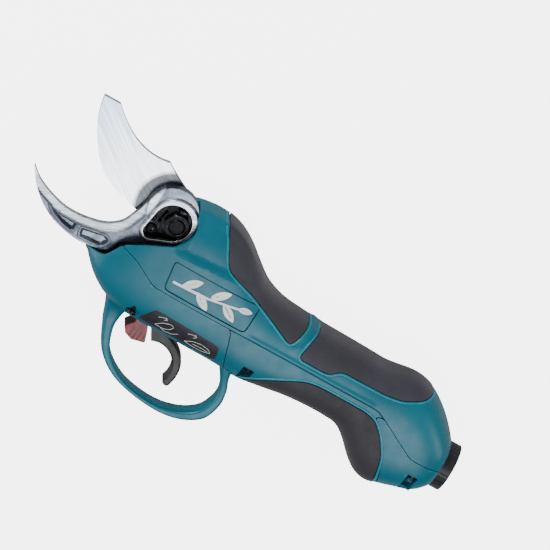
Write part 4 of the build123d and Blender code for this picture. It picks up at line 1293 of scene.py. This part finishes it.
# ---------------------------------------------------------------- working parts
@dataclass
class HookBlade:
    """The fixed blade: a lowered land along its inner edge, two rimmed pockets and the boss."""

    bottom: float = 2.0
    face: float = 7.6
    boss_top: float = 10.0
    boss: tuple[float, float, float] = (-6.0, 5.5, 15.5)
    crown: tuple[float, float, float] = (-2.4, 1.6, 14.0)
    step_top: float = 8.2
    recess: tuple[float, float, float] = (-3.0, 0.5, 11.5)
    lobe: tuple[float, float, float] = (-11.0, -10.0, 5.0)
    floor: float = 4.6
    land_width: float = 4.4
    inner: Points = ((-91, -9), (-79.5, -17.7), (-59.5, -24.1), (-39.5, -22.2), (-28.5, -15.7), (-24, -5.7),
                     (-21.4, 4))
    outer: Points = ((-91, -9), (-80.7, -22.2), (-65.7, -32.7), (-46.7, -37.6), (-30.7, -36), (-25.7, -33.7),
                     (-23.2, -26.4), (-20.7, -24.7), (4.5, -10.8))

    def __post_init__(self) -> None:
        """Prepares the outlines; the curved runs are cubics through their points."""
        inner = self.curve(self.inner)
        outer = self.curve(self.outer[:5])
        heel = np.array(self.outer[5:] + ((-6, 5.5), ), float)
        self.arm = Outline(tuple(map(tuple, np.vstack([inner, heel[::-1], outer[::-1]]))), 0.35, 0.4)
        shut = np.vstack([inner, [(-21.4, 60), (-140, 60), (-140, -9)]])
        self.mouth = Outline(tuple(map(tuple, shut)), 0.3, 0.8)
        self.front_pocket = Outline(((-71, -24.8), (-60, -28.6), (-49.5, -29.4), (-50.2, -34.2), (-58, -32.6),
                                     (-66, -29.2)), 0.7, 0.3)
        self.rear_pocket = Outline(((-46.2, -29.8), (-31.5, -27.2), (-28.4, -29.0), (-31.2, -33.8),
                                    (-45.0, -34.6)), 0.7, 0.3)

    @staticmethod
    def curve(points: Points) -> Array:
        """A dense cubic through some points."""
        table = np.array(points, float)
        knots = np.arange(len(table), dtype=float)
        at = np.linspace(0, len(table) - 1, 16 * len(table))
        return np.stack([cubic(knots, table[:, k], at) for k in (0, 1)], axis=1)

    def boss_gap(self, x: Array, y: Array) -> Array:
        """Signed distance of the boss's disc."""
        return self.boss[2] - np.hypot(x - self.boss[0], y - self.boss[1])

    def recess_gap(self, x: Array, y: Array) -> Array:
        """Signed distance of the nut recess: the largest over circles that shrink from it to its lobe."""
        rounds = np.linspace(self.recess, self.lobe, 12)
        return np.maximum.reduce([r - np.hypot(x - cx, y - cy) for cx, cy, r in rounds])

    def crown_gap(self, x: Array, y: Array) -> Array:
        """Signed distance of the raised crown: a disc, grown round the recess by a 1.6 mm rim."""
        cx, cy, radius = self.crown
        return np.maximum(radius - np.hypot(x - cx, y - cy), self.recess_gap(x, y) + 1.6)

    def height(self, x: Array, y: Array) -> Array:
        """Height of the top face.

        The face climbs to the boss's step between x = -44 and -25, and the crown stands on that
        step. The land beside the mouth is lower and falls a little to the edge. Pockets sink
        inside a raised rim, deepest at the rear.
        """
        face = self.face + (self.step_top - self.face) * ramp(x, -44.0, -25.0)
        away = -self.mouth.distance(x, y)
        on_boss = ramp(self.boss_gap(x, y), -0.3, 0.6)
        land = (1 - ramp(away, self.land_width - 0.35, self.land_width + 0.35)) * (1 - on_boss)
        z = face + land * (6.6 - 0.1 * (self.land_width - away) - face)
        for pocket, lean in ((self.front_pocket, -66.0), (self.rear_pocket, -44.0)):
            d = pocket.distance(x, y)
            depth = 1.3 + 1.2 * ramp(x, lean, lean + 12.0)
            z = z - depth * ramp(d, 0.0, 1.1) * (1 - land) + 0.35 * bell(d + 0.75, 0.45) * (1 - land)
        z = z * (1 - on_boss) + self.step_top * on_boss
        crown = ramp(self.crown_gap(x, y), -0.5, 0.5)
        return np.maximum(z * (1 - crown) + self.boss_top * crown, z)

    def build(self) -> None:
        """The cut and sunk plate, its land polished, then the black recess floor and a black liner that paints the
        shade on the recess walls.
        """
        def keep(x: Array, y: Array, z: Array) -> Array:
            solid = np.maximum.reduce([self.arm.distance(x, y), self.boss_gap(x, y), self.crown_gap(x, y)])
            return np.minimum(solid, -self.recess_gap(x, y))

        points, faces = cut_plate(self.height, keep, Patch(-92.0, 11.0, -39.0, 22.0, 0.5), self.bottom)
        piece = make_object("hook_steel", points, faces)
        polished = piece.data.attributes.new("polished", "FLOAT", "POINT")
        places = np.zeros(len(piece.data.vertices) * 3)
        piece.data.vertices.foreach_get("co", places)
        local = (places.reshape(-1, 3) - np.array(WORK.pivot)) * 1000
        away = -self.mouth.distance(local[:, 0], local[:, 1])
        shine = 1 - ramp(away, self.land_width - 0.3, self.land_width + 0.3)
        shine = np.maximum(shine, ramp(self.crown_gap(local[:, 0], local[:, 1]), -0.4, 0.2))
        polished.data.foreach_set("value", shine.astype(np.float32))
        round_edges(piece, 0.35, 3, 40.0)
        fit(piece, Body.HOUSING, "blade_steel", CAST, "hook_blade")

        def floor_keep(x: Array, y: Array, z: Array) -> Array:
            return np.minimum(self.recess_gap(x, y) - 0.05, np.hypot(x, y) - 5.2)

        points, faces = cut_plate(lambda x, y: np.full_like(x, self.floor), floor_keep,
                                  Patch(-19.0, 9.0, -15.5, 16.5, 0.6), self.bottom + 0.2)
        fit(make_object("recess_floor", points, faces), Body.HOUSING, "black_steel", BLACKENED)

        # a thin black ring over the recess walls: painted shade where the walls lie in shadow
        def shade_liner_keep(x: Array, y: Array, z: Array) -> Array:
            return np.minimum(self.recess_gap(x, y) - 0.05, 0.75 - self.recess_gap(x, y))

        points, faces = cut_plate(lambda x, y: np.full_like(x, self.boss_top - 0.7), shade_liner_keep,
                                  Patch(-19.0, 9.0, -15.5, 16.5, 0.4), self.floor)
        piece = make_object("recess_shade_liner", points, faces)
        round_edges(piece, 0.2, 2)
        fit(piece, Body.HOUSING, "black_steel", BLACKENED)


@dataclass
class Blades:
    """The cutting blade and the pivot with its lock."""

    def build(self) -> None:
        """Copies of the CAD pieces with rounded edges and their finishes."""
        rows = (
            ("cutting_blade", "moving_blade", 0.25, Body.CUTTING_BLADE, "blade_steel", BLADE),
            ("pivot_nut", "hex_nut", 0.4, Body.HOUSING, "black_steel", BLACKENED),
            ("pivot_bolt", "pivot_stud", 0.3, Body.HOUSING, "black_steel", BLACKENED),
            ("lock_plate", "nut_lock", 0.25, Body.HOUSING, "black_steel", BLACKENED),
            ("lock_plate_screws", "lock_screws", 0.25, Body.HOUSING, "black_steel", BLACKENED),
            ("housing_screws", "case_screws", 0.2, Body.HOUSING, "black_steel", BLACKENED),
        )
        for node, name, rounding, body, slot, finish in rows:
            fit(cad_copy(node, name, rounding), body, slot, finish, node)


@dataclass
class TriggerGroup:
    """The finger trigger and the red lever before it."""

    def build(self) -> None:
        """Copies with soft edges."""
        fit(cad_copy("trigger", "finger_trigger", 0.6), Body.TRIGGER, "dark_plastic", DARK_PLASTIC, "trigger")
        fit(cad_copy("lock_lever", "red_lever", 0.35), Body.LOCK_LEVER, "red_plastic", RED_PLASTIC,
            "lock_lever")


@dataclass
class CordInlet:
    """The coupling ring and the socket at the tail."""

    def build(self) -> None:
        """Copies with soft edges."""
        fit(cad_copy("connector_ring", "coupling_collar", 0.25), Body.COUPLING, "dark_plastic", DARK_PLASTIC,
            "connector_ring")
        fit(cad_copy("connector_body", "inlet_socket", 0.3), Body.HOUSING, "black_plastic", BLACK_PLASTIC,
            "connector_body")


@dataclass
class InnerWorks:
    """The CAD pieces that stay: drive, motor, board and wires."""

    def build(self) -> None:
        """Gives each shown CAD node the finish of its slot."""
        slots = {row["node"]: row["material_slot"] for row in frame["record"]["subparts"]}
        for name, node in frame["nodes"].items():
            if node.hide_render:
                continue
            material = SLOT_FINISH[slots[name]].material()
            if not node.material_slots:
                node.data.materials.append(material)
            for place in node.material_slots:
                place.material = material
            LOG.info("%s keeps its shape, in %s", name, material.name)


# ---------------------------------------------------------------- studio
@dataclass
class Studio:
    """Camera, floor and lights."""

    turn: float = math.radians(31.0)
    tip: float = math.radians(23.0)
    view_width: float = 0.319
    aim: tuple[float, float] = (57.1, -31.9)

    def axes(self) -> tuple[Array, Array, Array]:
        """The camera's right, up and back directions."""
        c, s = math.cos(self.turn), math.sin(self.turn)
        ct, st = math.cos(self.tip), math.sin(self.tip)
        return np.array([c, s, 0.0]), np.array([-ct * s, ct * c, -st]), np.array([-st * s, st * c, ct])

    def camera(self) -> None:
        """A flat-projection camera in front of the left flank."""
        right, up, back = self.axes()
        centre = WORK.place(self.aim[0] * right + self.aim[1] * up)
        data = bpy.data.cameras.new("camera")
        data.type = "ORTHO"
        data.ortho_scale = self.view_width
        made = bpy.data.objects.new("camera", data)
        made.matrix_world = self.pose(right, up, back, centre + 1.2 * back)
        bpy.context.scene.collection.objects.link(made)
        bpy.context.scene.camera = made

    @staticmethod
    def pose(right: Array, up: Array, back: Array, place: Array) -> Matrix:
        """A placing matrix from three directions and a place."""
        matrix = Matrix.Identity(4)
        for k, column in enumerate((right, up, back, place)):
            for row in range(3):
                matrix[row][k] = float(column[row])
        return matrix

    def lamp(self, name: str, direction: Sequence[float], distance: float, size: float, power: float) -> None:
        """A square soft lamp that faces the tool.

        Args:
            name: its name.
            direction: from the tool to the lamp.
            distance: in metres.
            size: side in metres.
            power: in watts.
        """
        data = bpy.data.lights.new(name, "AREA")
        data.size = size
        data.energy = power
        made = bpy.data.objects.new(name, data)
        centre = WORK.place(np.array([50.0, -30.0, 0.0]))
        towards = np.array(direction, float) / np.linalg.norm(direction)
        made.location = Vector(centre + towards * distance)
        made.rotation_euler = Vector(towards).to_track_quat("Z", "Y").to_euler()
        bpy.context.scene.collection.objects.link(made)

    def floor(self) -> None:
        """A wide pale floor under the tool."""
        mesh = bpy.data.meshes.new("floor")
        mesh.from_pydata([(-4, -4, 0), (4, -4, 0), (4, 4, 0), (-4, 4, 0)], [], [(0, 1, 2, 3)])
        made = bpy.data.objects.new("floor", mesh)
        bpy.context.scene.collection.objects.link(made)
        material = bpy.data.materials.new("pale_floor")
        material.use_nodes = True
        shader = next(n for n in material.node_tree.nodes if n.type == "BSDF_PRINCIPLED")
        shader.inputs["Base Color"].default_value = (0.5, 0.5, 0.5, 1.0)
        shader.inputs["Roughness"].default_value = 0.9
        shader.inputs["Emission Color"].default_value = (1.0, 1.0, 1.0, 1.0)
        graph = Graph(material.node_tree)
        seen = graph.math("MULTIPLY", graph.add("ShaderNodeLightPath").outputs["Is Camera Ray"], 5.0)
        material.node_tree.links.new(seen, shader.inputs["Emission Strength"])
        mesh.materials.append(material)

    def build(self) -> None:
        """Floor, surrounding light and lamps."""
        self.floor()
        world = bpy.data.worlds.new("studio")
        bpy.context.scene.world = world
        world.use_nodes = True
        back = next(n for n in world.node_tree.nodes if n.type == "BACKGROUND")
        back.inputs["Color"].default_value = (0.93, 0.96, 1.0, 1.0)
        back.inputs["Strength"].default_value = 0.22
        self.lamp("overhead", (0.2, -0.33, 0.92), 1.3, 0.7, 9.0)
        self.lamp("key", (-0.9, 1.0, 0.7), 1.2, 0.35, 11.0)
        self.lamp("nose", (-1.0, -0.5, 0.35), 1.1, 0.5, 4.5)
        self.lamp("tail", (1.0, 0.2, 0.6), 1.2, 0.5, 4.0)


def main() -> None:
    """Builds the tool piece by piece, then the studio."""
    studio = Studio()
    studio.camera()
    skin = Skin()
    working = (HookBlade(), Blades(), TriggerGroup(), CordInlet(), InnerWorks())
    for assembly in (Housing(skin), FingerGuard(), *working, studio):
        assembly.build()


if __name__ == "__main__":
    main()
